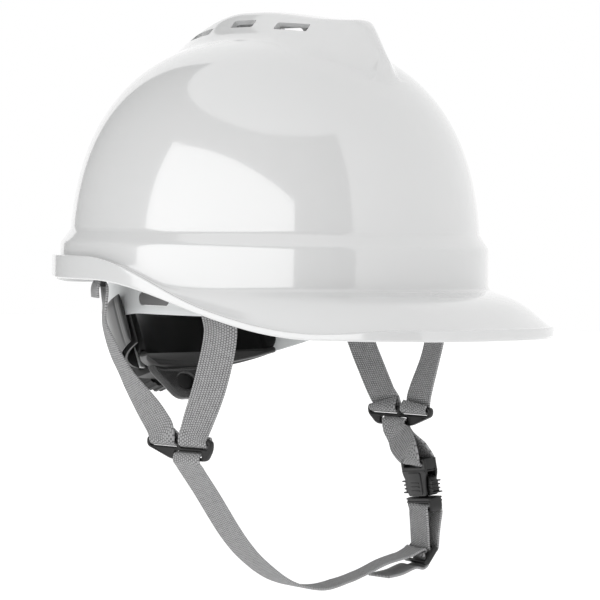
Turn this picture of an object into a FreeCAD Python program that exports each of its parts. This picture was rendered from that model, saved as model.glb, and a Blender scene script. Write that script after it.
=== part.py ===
"""Cap-style safety helmet with a four-point chin strap, used for climbing and cutting work in trees.

Frame: +X forward (peak), +Y the wearer's left, +Z up. The origin is the centre of the headband
at the height where the shell's vertical band meets the peak. Millimetres throughout.
"""
import FreeCAD, Part
import math
import os
import Sketcher

os.makedirs("parts", exist_ok=True)
doc = FreeCAD.newDocument("Helmet")
Vec = FreeCAD.Vector
PI = math.pi

# ------------------------------------------------------------------ driving dimensions
DIMENSIONS = {
    # shell: dome, band and brim
    "dome_front": 112.0, "dome_rear": 113.0, "dome_half_width": 102.0, "dome_height": 128.2,
    "plan_power": 2.2, "dome_power": 2.5, "shell_wall": 2.5,
    "band_front": 116.2, "band_rear": 118.0, "band_half_width": 106.5,
    "band_top": 18.0, "ledge_top": 24.0,
    "brim_front": 160.0, "brim_rear": 124.0, "brim_half_width": 111.0,
    "brim_front_power": 2.45, "brim_rear_power": 2.15, "lip_wall": 2.2,
    "rim_rear_height": 2.5, "rim_peak_drop": 24.0, "rim_tail_drop": 6.0,
    "lip_peak": 2.8, "lip_rear_extra": 7.5, "gutter_depth": 4.0,
    "crest_height": 141.5, "crest_half_width": 27.0, "crest_top_half_width": 15.0,
    "vent_length": 17.0, "vent_width": 5.0,
    # headband and crown cradle
    "headband_length": 95.0, "headband_width": 80.0, "headband_wall": 1.8,
    "headband_low": -20.0, "headband_high": 12.0,
    "crown_reach": 93.0, "crown_rise": 80.0, "crown_foot": 17.0, "webbing_thin": 1.2,
    "crown_webbing": 20.0, "key_width": 20.0,
    # nape module
    "nape_tilt": 22.0, "nape_back": 80.0, "nape_drop": 46.0,
    "rack_radius": 76.0, "rack_wall": 1.2, "rack_half_height": 9.0, "rack_reach": 70.0,
    "slot_reach": 21.0, "pinion_pitch_radius": 4.0, "pinion_teeth": 10.0, "tooth_height": 0.8,
    "housing_half_height": 12.5, "housing_reach": 20.0,
    "knob_radius": 17.2, "knob_depth": 7.5, "knob_start": 6.5, "drum_radius": 15.0,
    # straps and fittings
    "webbing_width": 18.4, "webbing_thick": 1.4,
    "slider_width": 46.0, "slider_height": 11.0, "slider_thick": 3.6,
    "buckle_width": 25.0, "buckle_thick": 8.0, "buckle_height": 15.5, "buckle_bar": 5.5,
    "flange_height": 9.2, "adjuster_width": 25.0, "adjuster_height": 12.0, "adjuster_thick": 3.4,
    "slot_width": 19.6, "slot_height": 2.8,
    "anchor_width": 23.4, "anchor_height": 20.0, "anchor_thick": 2.4,
}
sheet = doc.addObject("Spreadsheet::Sheet", "Dims")
for row, (alias, value) in enumerate(DIMENSIONS.items(), start=1):
    sheet.set("A%d" % row, alias)
    sheet.set("B%d" % row, str(value))
    sheet.setAlias("B%d" % row, alias)
doc.recompute()


def dim(alias):
    """Value of one driving dimension, read back from the sheet."""
    return float(getattr(sheet, alias))


PIECES = []


def keep(obj, label):
    """Give an object its node name and list it for export."""
    obj.Label = label
    PIECES.append(obj)
    return obj


def feature(label, shape, placement=None):
    """A finished piece whose shape comes from the geometry functions below."""
    obj = doc.addObject("Part::Feature", label)
    obj.Shape = shape
    if placement is not None:
        obj.Placement = placement
    return keep(obj, label)


# ------------------------------------------------------------------ shared geometry helpers
def smoothstep(value, low, high):
    """0 below low, 1 above high, an S-curve between."""
    ratio = min(1.0, max(0.0, (value - low) / (high - low)))
    return ratio * ratio * (3.0 - 2.0 * ratio)


def plan_radius(angle, front, rear, half_width, front_power, rear_power):
    """Radius of an egg-shaped outline made of two superellipses that meet at the widest point."""
    forward = math.cos(angle) >= 0.0
    length = front if forward else rear
    power = front_power if forward else rear_power
    total = abs(math.cos(angle) / length) ** power + abs(math.sin(angle) / half_width) ** power
    return total ** (-1.0 / power)


def dome_plan(angle):
    return plan_radius(angle, dim("dome_front"), dim("dome_rear"), dim("dome_half_width"),
                       dim("plan_power"), dim("plan_power"))


def band_plan(angle):
    return plan_radius(angle, dim("band_front"), dim("band_rear"), dim("band_half_width"),
                       dim("plan_power"), dim("plan_power"))


def brim_plan(angle):
    return plan_radius(angle, dim("brim_front"), dim("brim_rear"), dim("brim_half_width"),
                       dim("brim_front_power"), dim("brim_rear_power"))


def dome_scale(height, inset=0.0):
    """How far the dome has closed in at a height, as a share of its plan radius."""
    top = dim("dome_height") - inset
    power = dim("dome_power")
    return (1.0 - (height / top) ** power) ** (1.0 / power)


def rim_height(x):
    """Lower edge of the shell: level behind the ears, dropping to the peak and to the nape."""
    peak = dim("rim_peak_drop") * smoothstep(x, -30.0, 115.0)
    tail = dim("rim_tail_drop") * smoothstep(-x, 85.0, 125.0)
    return dim("rim_rear_height") - peak - tail


def lip_height(x):
    """Top of the brim's edge, which stands up as a rain gutter at the sides and back."""
    return rim_height(x) + dim("lip_peak") + dim("lip_rear_extra") * (1.0 - smoothstep(x, -40.0, 50.0))


def root_height(x):
    """Height at which the brim leaves the vertical band."""
    return max(0.0, lip_height(x))


RING_STEPS = 56


def ring(radius_function, height_function):
    """Closed smooth curve round the head at a radius and height that depend on direction."""
    points = []
    for step in range(RING_STEPS):
        angle = 2.0 * PI * step / RING_STEPS
        radius = radius_function(angle)
        x = radius * math.cos(angle)
        points.append(Vec(x, radius * math.sin(angle), height_function(x)))
    curve = Part.BSplineCurve()
    curve.interpolate(Points=points, PeriodicFlag=True)
    return Part.Wire([curve.toShape()])


def dome_solid(inset):
    """The dome above the ledge, as a smooth loft of level rings; inset moves it inwards."""
    top = dim("dome_height") - inset
    sections = []
    steps = 15
    for step in range(steps):
        share = step / (steps - 1.0)
        height = dim("ledge_top") + (top - 0.25 - dim("ledge_top")) * math.sin(share * PI / 2.0)
        scale = dome_scale(height, inset)
        sections.append(ring(lambda a, k=scale: (dome_plan(a) - inset) * k, lambda x, z=height: z))
    return Part.makeLoft(sections, True, False)


def brim_solid(inset):
    """Band and brim below the ledge: straight-sided rings from below the rim up to the dome's foot."""
    floor = -60.0
    foot_scale = dome_scale(dim("ledge_top"), inset)
    edge = dim("lip_wall") if inset else 0.0
    sections = [
        ring(lambda a: brim_plan(a) - edge, lambda x: floor),
        ring(lambda a: brim_plan(a) - edge, lambda x: lip_height(x) - inset),
        ring(lambda a: band_plan(a) - inset, lambda x: root_height(x) - inset),
        ring(lambda a: band_plan(a) - inset, lambda x: dim("band_top")),
        ring(lambda a: (dome_plan(a) - inset) * foot_scale, lambda x: dim("ledge_top")),
    ]
    return Part.makeLoft(sections, True, True)


def side_cutter(height_function, sign, reach=70.0):
    """Everything below (sign -1) or above (sign +1) a height that changes only along X."""
    xs = [-140.0 + 320.0 * step / 40.0 for step in range(41)]
    curve = Part.BSplineCurve()
    curve.interpolate([Vec(x, -150.0, height_function(x)) for x in xs])
    edge = curve.toShape()
    start = Vec(xs[0], -150.0, height_function(xs[0]))
    end = Vec(xs[-1], -150.0, height_function(xs[-1]))
    far = [Vec(end.x, -150.0, end.z + sign * reach), Vec(start.x, -150.0, start.z + sign * reach)]
    lines = [Part.makeLine(end, far[0]), Part.makeLine(far[0], far[1]), Part.makeLine(far[1], start)]
    return Part.Face(Part.Wire([edge] + lines)).extrude(Vec(0.0, 300.0, 0.0))


def prism_of(wire, low, high):
    face = Part.Face(wire)
    face.translate(Vec(0.0, 0.0, low))
    return face.extrude(Vec(0.0, 0.0, high - low))


def dome_surface(x, y):
    """Height of the dome above a point of the plan."""
    angle = math.atan2(y, x)
    share = math.hypot(x, y) / dome_plan(angle)
    return dim("dome_height") * (1.0 - min(0.999, share) ** dim("dome_power")) ** (1.0 / dim("dome_power"))


def crest_top(x):
    """Height of the crest's ridge line along the middle of the head."""
    rise = smoothstep(x, -112.0, -12.0)
    slope = 3.5 * smoothstep(x, -5.0, 56.0)
    nose = 34.0 * smoothstep(x, 52.0, 88.0)
    return 84.0 + (dim("crest_height") - 84.0) * rise ** 0.62 - slope - nose


def crest_solid(inset):
    """Raised crest: sections across the head, running out behind and bow-shaped in front."""
    sections = []
    for station in (-92.0, -78.0, -62.0, -42.0, -20.0, 8.0, 34.0, 50.0, 60.0, 68.0, 77.0):
        x = station * (1.0 - inset / 70.0)
        nose = 1.0 - 0.86 * smoothstep(x, 44.0, 82.0)
        foot_half = dim("crest_half_width") * nose - inset * 0.5
        top_half = dim("crest_top_half_width") * nose - inset * 0.4
        top = crest_top(x) - inset
        shoulder = min(top - 0.6, dome_surface(x, foot_half) + 2.5 - inset)
        base = shoulder - 16.0
        wide = foot_half + 5.0
        corners = [Vec(x, -wide, base), Vec(x, wide, base), Vec(x, foot_half, shoulder),
                   Vec(x, top_half, top), Vec(x, -top_half, top), Vec(x, -foot_half, shoulder)]
        sections.append(Part.makePolygon(corners + [corners[0]]))
    return Part.makeLoft(sections, True, True)


def shell_shape():
    outer = dome_solid(0.0).fuse(brim_solid(0.0)).fuse(crest_solid(0.0))
    wall = dim("shell_wall")
    inner = dome_solid(wall).fuse(brim_solid(wall)).fuse(crest_solid(wall))
    plaque = Part.makeBox(14.0, 44.0, 18.0, Vec(-118.5, -22.0, 18.5))
    plaque = plaque.makeChamfer(2.5, [e for e in plaque.Edges if e.BoundBox.XMax < -118.0])
    shell = outer.fuse(plaque).cut(inner)
    shell = shell.cut(side_cutter(rim_height, -1.0))
    # rain gutter between the band and the brim's standing edge
    channel_wall = prism_of(ring(lambda a: brim_plan(a) - 1.8, lambda x: 0.0), -30.0, 40.0)
    channel_core = prism_of(ring(lambda a: band_plan(a) + 0.3, lambda x: 0.0), -35.0, 45.0)
    floor = lambda x: lip_height(x) - dim("gutter_depth") + 6.0 * smoothstep(x, -45.0, 5.0)
    rear_half = Part.makeBox(170.0, 300.0, 80.0, Vec(-150.0, -150.0, -32.0))
    channel = channel_wall.cut(channel_core).common(rear_half).common(side_cutter(floor, 1.0))
    shell = shell.cut(channel)
    # three slots through each side of the crest
    for x in (-36.0, -5.0, 29.0):
        for side in (-1.0, 1.0):
            vent = Part.makeBox(dim("vent_length"), dim("vent_width"), 14.0,
                                Vec(-dim("vent_length") / 2.0, -dim("vent_width") / 2.0, -7.0))
            vent.rotate(Vec(0.0, 0.0, 0.0), Vec(1.0, 0.0, 0.0), -side * 48.0)
            vent.translate(Vec(x, side * 21.0, (crest_top(x) + dome_surface(x, 27.0) + 2.5) / 2.0))
            shell = shell.cut(vent)
    solids = sorted(shell.Solids, key=lambda s: s.Volume)
    return solids[-1]


feature("shell", shell_shape())


# ------------------------------------------------------------------ headband and crown cradle
def oval_wire(length, width):
    return Part.Wire([Part.Ellipse(Vec(0, 0, 0), length, width).toShape()])


def oval_ring(inner_length, inner_width, wall, low, high):
    outside = prism_of(oval_wire(inner_length + wall, inner_width + wall), low, high)
    return outside.cut(prism_of(oval_wire(inner_length, inner_width), low - 1.0, high + 1.0))


def wedge(half_angle, middle, low, high, reach=160.0):
    """Pie slice about the Z axis, used to keep or clear part of a ring."""
    slice_ = Part.makeCylinder(reach, high - low, Vec(0, 0, low), Vec(0, 0, 1), 2.0 * half_angle)
    slice_.rotate(Vec(0, 0, 0), Vec(0, 0, 1), middle - half_angle)
    return slice_


def headband_shape():
    low = dim("headband_low")
    high = dim("headband_high")
    band = oval_ring(dim("headband_length"), dim("headband_width"), dim("headband_wall"), low - 9.0, high)
    # the lower edge is level in front and dips towards the nape
    drop = side_cutter(lambda x: low - 8.0 * smoothstep(-x, 20.0, 90.0), -1.0)
    band = band.cut(drop).cut(wedge(24.0, 180.0, low - 20.0, high + 5.0))
    for side in (-1.0, 1.0):
        window = Part.makeCylinder(3.2, 60.0, Vec(-64.0, side * 50.0, -14.0), Vec(0, side, 0))
        window = window.fuse(Part.makeBox(12.0, 60.0, 6.4, Vec(-64.0, min(side * 50.0, side * 110.0), -17.2)))
        window = window.fuse(Part.makeCylinder(3.2, 60.0, Vec(-52.0, side * 50.0, -14.0), Vec(0, side, 0)))
        band = band.cut(window)
    return band


feature("headband", headband_shape())

sweat_wall = 2.4
sweatband = oval_ring(dim("headband_length") - 0.35 - sweat_wall, dim("headband_width") - 0.35 - sweat_wall,
                      sweat_wall, dim("headband_low") + 3.0, dim("headband_high") - 3.0)
feature("brow_pad", sweatband.common(wedge(62.0, 0.0, -40.0, 40.0)))


def crown_strap(lift, angle):
    """Webbing hoop over the head from one suspension key to the opposite one."""
    thin = dim("webbing_thin")
    reach = dim("crown_reach")
    rise = dim("crown_rise") + lift
    foot = dim("crown_foot")
    outer = Part.Ellipse(Vec(0, 0, 0), reach, rise)
    inner = Part.Ellipse(Vec(0, 0, 0), reach - thin, rise - thin)
    arc_out = outer.toShape(0.0, PI)
    arc_in = inner.toShape(0.0, PI)
    legs = [Part.makeLine(Vec(reach, 0, 0), Vec(reach - thin, 0, 0)),
            Part.makeLine(Vec(-reach, 0, 0), Vec(thin - reach, 0, 0))]
    face = Part.Face(Part.Wire(Part.__sortEdges__([arc_out, arc_in] + legs)))
    hoop = face.extrude(Vec(0, 0, dim("crown_webbing")))
    hoop.translate(Vec(0, 0, -dim("crown_webbing") / 2.0))
    hoop.rotate(Vec(0, 0, 0), Vec(1, 0, 0), 90.0)
    hoop.rotate(Vec(0, 0, 0), Vec(0, 0, 1), angle)
    hoop.translate(Vec(0, 0, foot))
    return hoop


feature("crown_strap_a", crown_strap(0.0, 45.0))
feature("crown_strap_b", crown_strap(dim("webbing_thin") + 0.3, -45.0))
crown_pad_top = dim("crown_foot") + dim("crown_rise") - dim("webbing_thin") - 4.0
feature("crown_pad", Part.makeCylinder(26.0, 2.5, Vec(0, 0, crown_pad_top - 2.5)))


def key_piece(label, angle):
    """Suspension key: a plug that reaches the shell's band, with a shelf for the webbing."""
    plug = doc.addObject("Part::Box", label + "_plug")
    plug.setExpression("Width", "Dims.key_width")
    plug.Length = 12.0
    plug.Height = 16.0
    plug.Placement = FreeCAD.Placement(Vec(96.0, -dim("key_width") / 2.0, 1.0), FreeCAD.Rotation())
    shelf = doc.addObject("Part::Box", label + "_shelf")
    shelf.setExpression("Width", "Dims.key_width")
    shelf.Length = 7.0
    shelf.Height = 14.5
    shelf.Placement = FreeCAD.Placement(Vec(89.4, -dim("key_width") / 2.0, 2.3), FreeCAD.Rotation())
    joined = doc.addObject("Part::Fuse", label)
    joined.Base = plug
    joined.Tool = shelf
    joined.Placement = FreeCAD.Placement(Vec(0, 0, 0), FreeCAD.Rotation(Vec(0, 0, 1), angle))
    return keep(joined, label)


for name, angle in (("key_front_left", 45.0), ("key_rear_left", 135.0),
                    ("key_rear_right", 225.0), ("key_front_right", 315.0)):
    key_piece(name, angle)


# ------------------------------------------------------------------ nape module
# Its own frame: x out of the back of the head along the knob's axis, z up the nape plate.
nape_turn = FreeCAD.Rotation(Vec(0, 1, 0), -dim("nape_tilt")).multiply(FreeCAD.Rotation(Vec(0, 0, 1), 180.0))
NAPE = FreeCAD.Placement(Vec(-dim("nape_back"), 0, -dim("nape_drop")), nape_turn)


def sector(inner, outer, low, high, start, end):
    """Part of a ring about the racks' own centre, which lies in front of the pinion."""
    centre = Vec(-dim("rack_radius"), 0, 0)
    block = Part.makeCylinder(outer, high - low, centre + Vec(0, 0, low), Vec(0, 0, 1), end - start)
    core = Part.makeCylinder(inner, high - low + 2.0, centre + Vec(0, 0, low - 1.0), Vec(0, 0, 1))
    block.rotate(centre, Vec(0, 0, 1), start)
    return block.cut(core)


def rack_shape(inner, side):
    """Rack tail: a curved strip with a slot whose upper (side -1) or lower edge carries teeth."""
    outer = inner + dim("rack_wall")
    height = dim("rack_half_height")
    reach = dim("rack_reach")
    slot = dim("slot_reach")
    tip = slot + 3.0
    ends = (-reach, tip) if side < 0 else (-tip, reach)
    strip = sector(inner, outer, -height, height, ends[0], ends[1])
    pitch = dim("pinion_pitch_radius")
    tooth = dim("tooth_height")
    near = pitch - tooth
    clear = pitch + tooth + 0.6
    toothed = -side
    low, high = (-clear, near) if toothed > 0 else (-near, clear)
    strip = strip.cut(sector(inner - 1.0, outer + 1.0, low, high, -slot, slot))
    # gaps between the teeth, one under each pinion tooth
    centre = Vec(-dim("rack_radius"), 0, 0)
    middle = inner + dim("rack_wall") / 2.0
    step = 360.0 / dim("pinion_teeth") * pitch / middle
    count = int((slot - 0.8) / step)
    gaps = []
    for index in range(-count, count + 1):
        points = [Vec(middle - 3, -1.0, near - 0.2), Vec(middle - 3, 1.0, near - 0.2),
                  Vec(middle - 3, 0.5, near + 2.0), Vec(middle - 3, -0.5, near + 2.0)]
        gap = Part.Face(Part.makePolygon(points + [points[0]])).extrude(Vec(6, 0, 0))
        if toothed < 0:
            gap = gap.mirror(Vec(0, 0, 0), Vec(0, 0, 1))
        gap.translate(centre)
        gap.rotate(centre, Vec(0, 0, 1), index * step)
        gaps.append(gap)
    return strip.cut(gaps)


LEFT_RACK_INNER = dim("rack_radius") - 0.7
RIGHT_RACK_INNER = LEFT_RACK_INNER + dim("rack_wall") + 0.4
feature("rack_left", rack_shape(LEFT_RACK_INNER, -1), NAPE)
feature("rack_right", rack_shape(RIGHT_RACK_INNER, 1), NAPE)

FIT = 0.05
BEARING = 1.5
COLLAR = 5.2


def housing_shape():
    half = dim("housing_half_height")
    reach = dim("housing_reach")
    radius = dim("rack_radius")
    body = sector(radius - 4.4, radius + 5.2, -half, half, -reach, reach)
    channel = sector(radius - 2.4, radius + 2.8, -dim("rack_half_height") - 0.4,
                     dim("rack_half_height") + 0.4, -reach - 5.0, reach + 5.0)
    drum = Part.makeCylinder(dim("drum_radius"), 5.0, Vec(4.4, 0, 0), Vec(1, 0, 0))
    well = Part.makeCylinder(dim("drum_radius") - 2.2, 10.0, Vec(5.4, 0, 0), Vec(1, 0, 0))
    body = body.fuse(drum).cut(well).cut(channel)
    body = body.cut(Part.makeCylinder(COLLAR + FIT, 8.0, Vec(0, 0, 0), Vec(1, 0, 0)))
    body = body.cut(Part.makeCylinder(BEARING + FIT, 8.0, Vec(-6, 0, 0), Vec(1, 0, 0)))
    notches = []
    for index in range(24):
        notch = Part.makeCylinder(0.9, 6.0, Vec(5.4, dim("drum_radius") - 2.2, 0), Vec(1, 0, 0))
        notch.rotate(Vec(0, 0, 0), Vec(1, 0, 0), 15.0 * index)
        notches.append(notch)
    return body.cut(notches)


feature("ratchet_housing", housing_shape(), NAPE)


def pinion_shape():
    teeth = int(dim("pinion_teeth"))
    pitch = dim("pinion_pitch_radius")
    root = pitch - 1.1
    tip = pitch + dim("tooth_height") - 0.05
    gear = Part.makeCylinder(root, 4.6, Vec(-2.0, 0, 0), Vec(1, 0, 0))
    blanks = []
    for index in range(teeth):
        points = [Vec(-2.0, -0.62, root - 0.5), Vec(-2.0, 0.62, root - 0.5),
                  Vec(-2.0, 0.28, tip), Vec(-2.0, -0.28, tip)]
        blank = Part.Face(Part.makePolygon(points + [points[0]])).extrude(Vec(4.6, 0, 0))
        blank.rotate(Vec(0, 0, 0), Vec(1, 0, 0), 360.0 / teeth * index)
        blanks.append(blank)
    gear = gear.fuse(blanks)
    gear = gear.fuse(Part.makeCylinder(COLLAR, 7.2, Vec(2.6, 0, 0), Vec(1, 0, 0)))
    gear = gear.fuse(Part.makeCylinder(BEARING, 2.3, Vec(-4.2, 0, 0), Vec(1, 0, 0)))
    return gear.cut(Part.makeCylinder(1.25, 9.0, Vec(1.0, 0, 0), Vec(1, 0, 0)))


feature("ratchet_pinion", pinion_shape(), NAPE)


def spring_shape():
    """Click spring: a hub with two curved arms whose tips ride past the drum's notches."""
    hub = Part.makeCylinder(7.0, 1.6, Vec(6.6, 0, 0), Vec(1, 0, 0))
    hub = hub.cut(Part.makeCylinder(COLLAR + 0.02, 4.0, Vec(5.6, 0, 0), Vec(1, 0, 0)))
    arms = []
    for turn in (0.0, 180.0):
        arm = Part.makeCylinder(11.3, 1.6, Vec(6.6, 0, 0), Vec(1, 0, 0), 100.0)
        arm = arm.cut(Part.makeCylinder(10.2, 4.0, Vec(5.6, 0, 0), Vec(1, 0, 0)))
        tip = Part.makeCylinder(0.8, 1.6, Vec(6.6, 11.75, 0), Vec(1, 0, 0))
        tip.rotate(Vec(0, 0, 0), Vec(1, 0, 0), 97.0)
        arm = arm.fuse(tip)
        link = Part.makeBox(1.6, 5.0, 1.4, Vec(6.6, 6.4, 0.0))
        arm = arm.fuse(link)
        arm.rotate(Vec(0, 0, 0), Vec(1, 0, 0), turn)
        arms.append(arm)
    return hub.fuse(arms)


feature("ratchet_spring", spring_shape(), NAPE)


def knob_piece():
    """Ribbed adjusting knob, padded from a circle, hollowed and scalloped round its rim."""
    body = doc.addObject("PartDesign::Body", "KnobBody")
    plane = [f for f in body.Origin.OriginFeatures if f.Role == "YZ_Plane"][0]

    def circle_sketch(name, radius_expression, offset):
        sketch = body.newObject("Sketcher::SketchObject", name)
        sketch.AttachmentSupport = [(plane, "")]
        sketch.MapMode = "FlatFace"
        sketch.AttachmentOffset = FreeCAD.Placement(Vec(0, 0, offset), FreeCAD.Rotation())
        sketch.addGeometry(Part.Circle(Vec(0, 0, 0), Vec(0, 0, 1), 5.0), False)
        sketch.addConstraint(Sketcher.Constraint("Coincident", 0, 3, -1, 1))
        number = sketch.addConstraint(Sketcher.Constraint("Radius", 0, 5.0))
        sketch.setExpression("Constraints[%d]" % number, radius_expression)
        return sketch

    disc = body.newObject("PartDesign::Pad", "KnobDisc")
    disc.Profile = circle_sketch("KnobOutline", "Dims.knob_radius", dim("knob_start"))
    disc.setExpression("Length", "Dims.knob_depth")
    doc.recompute()
    hollow = body.newObject("PartDesign::Pocket", "KnobHollow")
    hollow.Profile = circle_sketch("KnobInside", "Dims.drum_radius + 0.4", dim("knob_start"))
    hollow.Length = 3.6
    hollow.Reversed = True
    doc.recompute()
    bore = body.newObject("PartDesign::Pocket", "KnobBore")
    bore.Profile = circle_sketch("KnobHole", "1.25", dim("knob_start"))
    bore.Length = 10.0
    bore.Reversed = True
    doc.recompute()
    scallop_sketch = body.newObject("Sketcher::SketchObject", "KnobScallopOutline")
    scallop_sketch.AttachmentSupport = [(plane, "")]
    scallop_sketch.MapMode = "FlatFace"
    scallop_sketch.AttachmentOffset = FreeCAD.Placement(Vec(0, 0, dim("knob_start")), FreeCAD.Rotation())
    scallop_sketch.addGeometry(Part.Circle(Vec(0, dim("knob_radius") + 0.6, 0), Vec(0, 0, 1), 1.4), False)
    scallop_sketch.addConstraint(Sketcher.Constraint("Radius", 0, 1.4))
    scallop_sketch.addConstraint(Sketcher.Constraint("PointOnObject", 0, 3, -2))
    number = scallop_sketch.addConstraint(Sketcher.Constraint("DistanceY", -1, 1, 0, 3, 17.0))
    scallop_sketch.setExpression("Constraints[%d]" % number, "Dims.knob_radius + 0.6")
    scallop = body.newObject("PartDesign::Pocket", "KnobScallop")
    scallop.Profile = scallop_sketch
    scallop.Length = 12.0
    scallop.Reversed = True
    doc.recompute()
    pattern = body.newObject("PartDesign::PolarPattern", "KnobScallops")
    pattern.Originals = [scallop]
    axis = [f for f in body.Origin.OriginFeatures if f.Role == "X_Axis"][0]
    pattern.Axis = (axis, [""])
    pattern.Angle = 360.0
    pattern.Occurrences = 24
    body.Tip = pattern
    doc.recompute()
    body.Placement = NAPE
    return keep(body, "ratchet_knob")


knob_piece()


def screw_shape():
    end = dim("knob_start") + dim("knob_depth")
    shank = Part.makeCylinder(1.2, end - 2.5, Vec(3.0, 0, 0), Vec(1, 0, 0))
    head = Part.makeCylinder(3.4, 1.6, Vec(end + 0.02, 0, 0), Vec(1, 0, 0))
    cross = Part.makeBox(1.0, 4.0, 0.9, Vec(end + 0.9, -2.0, -0.45))
    cross = cross.fuse(Part.makeBox(1.0, 0.9, 4.0, Vec(end + 0.9, -0.45, -2.0)))
    return shank.fuse(head).cut(cross)


feature("ratchet_screw", screw_shape(), NAPE)


def nape_pad_shape():
    radius = dim("rack_radius")
    pad = sector(radius - 10.0, radius - 4.7, -9.0, 21.0, -52.0, 52.0)
    return pad


def nape_lobe_shape():
    radius = dim("rack_radius")
    lobe = sector(radius - 9.0, radius - 4.7, -27.0, -9.4, -30.0, 30.0)
    outline = Part.makePolygon([Vec(0, -38, -9), Vec(0, 38, -9), Vec(0, 34, -17), Vec(0, 22, -25),
                                Vec(0, 12, -27.0), Vec(0, -12, -27.0), Vec(0, -22, -25), Vec(0, -34, -17),
                                Vec(0, -38, -9)])
    cutter = Part.Face(outline).extrude(Vec(40, 0, 0))
    cutter.translate(Vec(-30, 0, 0))
    lobe = lobe.common(cutter)
    recess = Part.makeCylinder(5.5, 8.0, Vec(-14.0, 0, -18.0), Vec(1, 0, 0))
    return lobe.cut(recess)


feature("nape_pad", nape_pad_shape(), NAPE)
feature("nape_lobe", nape_lobe_shape(), NAPE)


# ------------------------------------------------------------------ chin strap harness
ANCHORS = {"front": (46.0, 94.6), "rear": (-39.0, 93.2)}
ANCHOR_LEANS = {"front": -18.0, "rear": 34.0}
SLIDER_X = 17.0
SLIDER_Y = 88.0
SLIDER_HEIGHTS = {"right": -88.5, "left": -78.0}
FOLD_CLEARANCE = {"front": 1.1, "rear": 3.2}
BUCKLE_TURN = -18.0
LOWER_SLOTS = {"right": 7.0, "left": -4.0}
TURN = FreeCAD.Rotation(Vec(0, 0, 1), BUCKLE_TURN)
LEAN = FreeCAD.Rotation(Vec(0.669, -0.743, 0), 10.0)
BUCKLE = FreeCAD.Placement(Vec(32.0, 86.0, -121.5), LEAN.multiply(TURN))
ADJUSTER = FreeCAD.Placement(Vec(31.9, 84.0, -151.0), TURN.multiply(FreeCAD.Rotation(Vec(1, 0, 0), -35.0)))


def unit(vector):
    return vector * (1.0 / vector.Length)


def smooth_path(points, steps):
    """Evenly spaced samples of a smooth curve through hand-placed points."""
    curve = Part.BSplineCurve()
    curve.interpolate([Vec(*p) for p in points])
    return curve.discretize(Number=steps)


def ribbon(path, across, width, thick):
    """Flat strap along a path; across gives its width direction at each end."""
    sections = []
    last = len(path) - 1
    for index, point in enumerate(path):
        before = path[max(0, index - 1)]
        after = path[min(last, index + 1)]
        along = unit(after - before)
        share = index / float(last)
        side = across[0] * (1.0 - share) + across[1] * share
        side = unit(side - along * side.dot(along))
        out = side.cross(along)
        a = side * (width / 2.0)
        b = out * (thick / 2.0)
        corners = [point - a - b, point + a - b, point + a + b, point - a + b]
        sections.append(Part.makePolygon(corners + [corners[0]]))
    return Part.makeLoft(sections, True, True)


def across_at(angle):
    return Vec(math.cos(math.radians(angle)), math.sin(math.radians(angle)), 0.0)


def anchor_piece(label, x, y, turn):
    """Clip inside the shell's band, with a slot for the strap's top loop."""
    plate = doc.addObject("Part::Box", label + "_plate")
    plate.setExpression("Length", "Dims.anchor_width")
    plate.setExpression("Width", "Dims.anchor_thick")
    plate.setExpression("Height", "Dims.anchor_height")
    foot = 6.0
    plate.Placement = FreeCAD.Placement(Vec(-dim("anchor_width") / 2.0, -dim("anchor_thick") / 2.0, -foot),
                                        FreeCAD.Rotation())
    slot = doc.addObject("Part::Box", label + "_slot")
    slot.setExpression("Length", "Dims.slot_width")
    slot.setExpression("Height", "Dims.slot_height")
    slot.Width = 6.0
    bar = 2.4
    slot.Placement = FreeCAD.Placement(Vec(-dim("slot_width") / 2.0, -3.0, bar - foot), FreeCAD.Rotation())
    clip = doc.addObject("Part::Cut", label)
    clip.Base = plate
    clip.Tool = slot
    clip.Placement = FreeCAD.Placement(Vec(x, y, 0), FreeCAD.Rotation(Vec(0, 0, 1), turn))
    return keep(clip, label)


for side_name, sign in (("right", -1.0), ("left", 1.0)):
    height = SLIDER_HEIGHTS[side_name]
    for place in ("front", "rear"):
        x, y = ANCHORS[place]
        lean = sign * ANCHOR_LEANS[place]
        anchor_piece("anchor_%s_%s" % (place, side_name), x, sign * y, lean)
        end_x = SLIDER_X + (11.0 if place == "front" else -11.0)
        thick = dim("webbing_thick")
        inward = -sign * (dim("anchor_thick") / 2.0 + FOLD_CLEARANCE[place] + thick / 2.0)
        top = (x, sign * y + inward, -2.5)
        bottom = (end_x, sign * SLIDER_Y + inward, height + 5.6)
        middle = ((x + end_x) / 2.0 + (4.0 if place == "rear" else -3.0),
                  sign * (y + SLIDER_Y) / 2.0 + inward, height / 2.0)
        path = smooth_path([top, middle, bottom], 12)
        strap = ribbon(path, [across_at(lean), across_at(0.0)], dim("webbing_width"), thick)
        feature("strap_%s_%s" % (place, side_name), strap)


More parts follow.
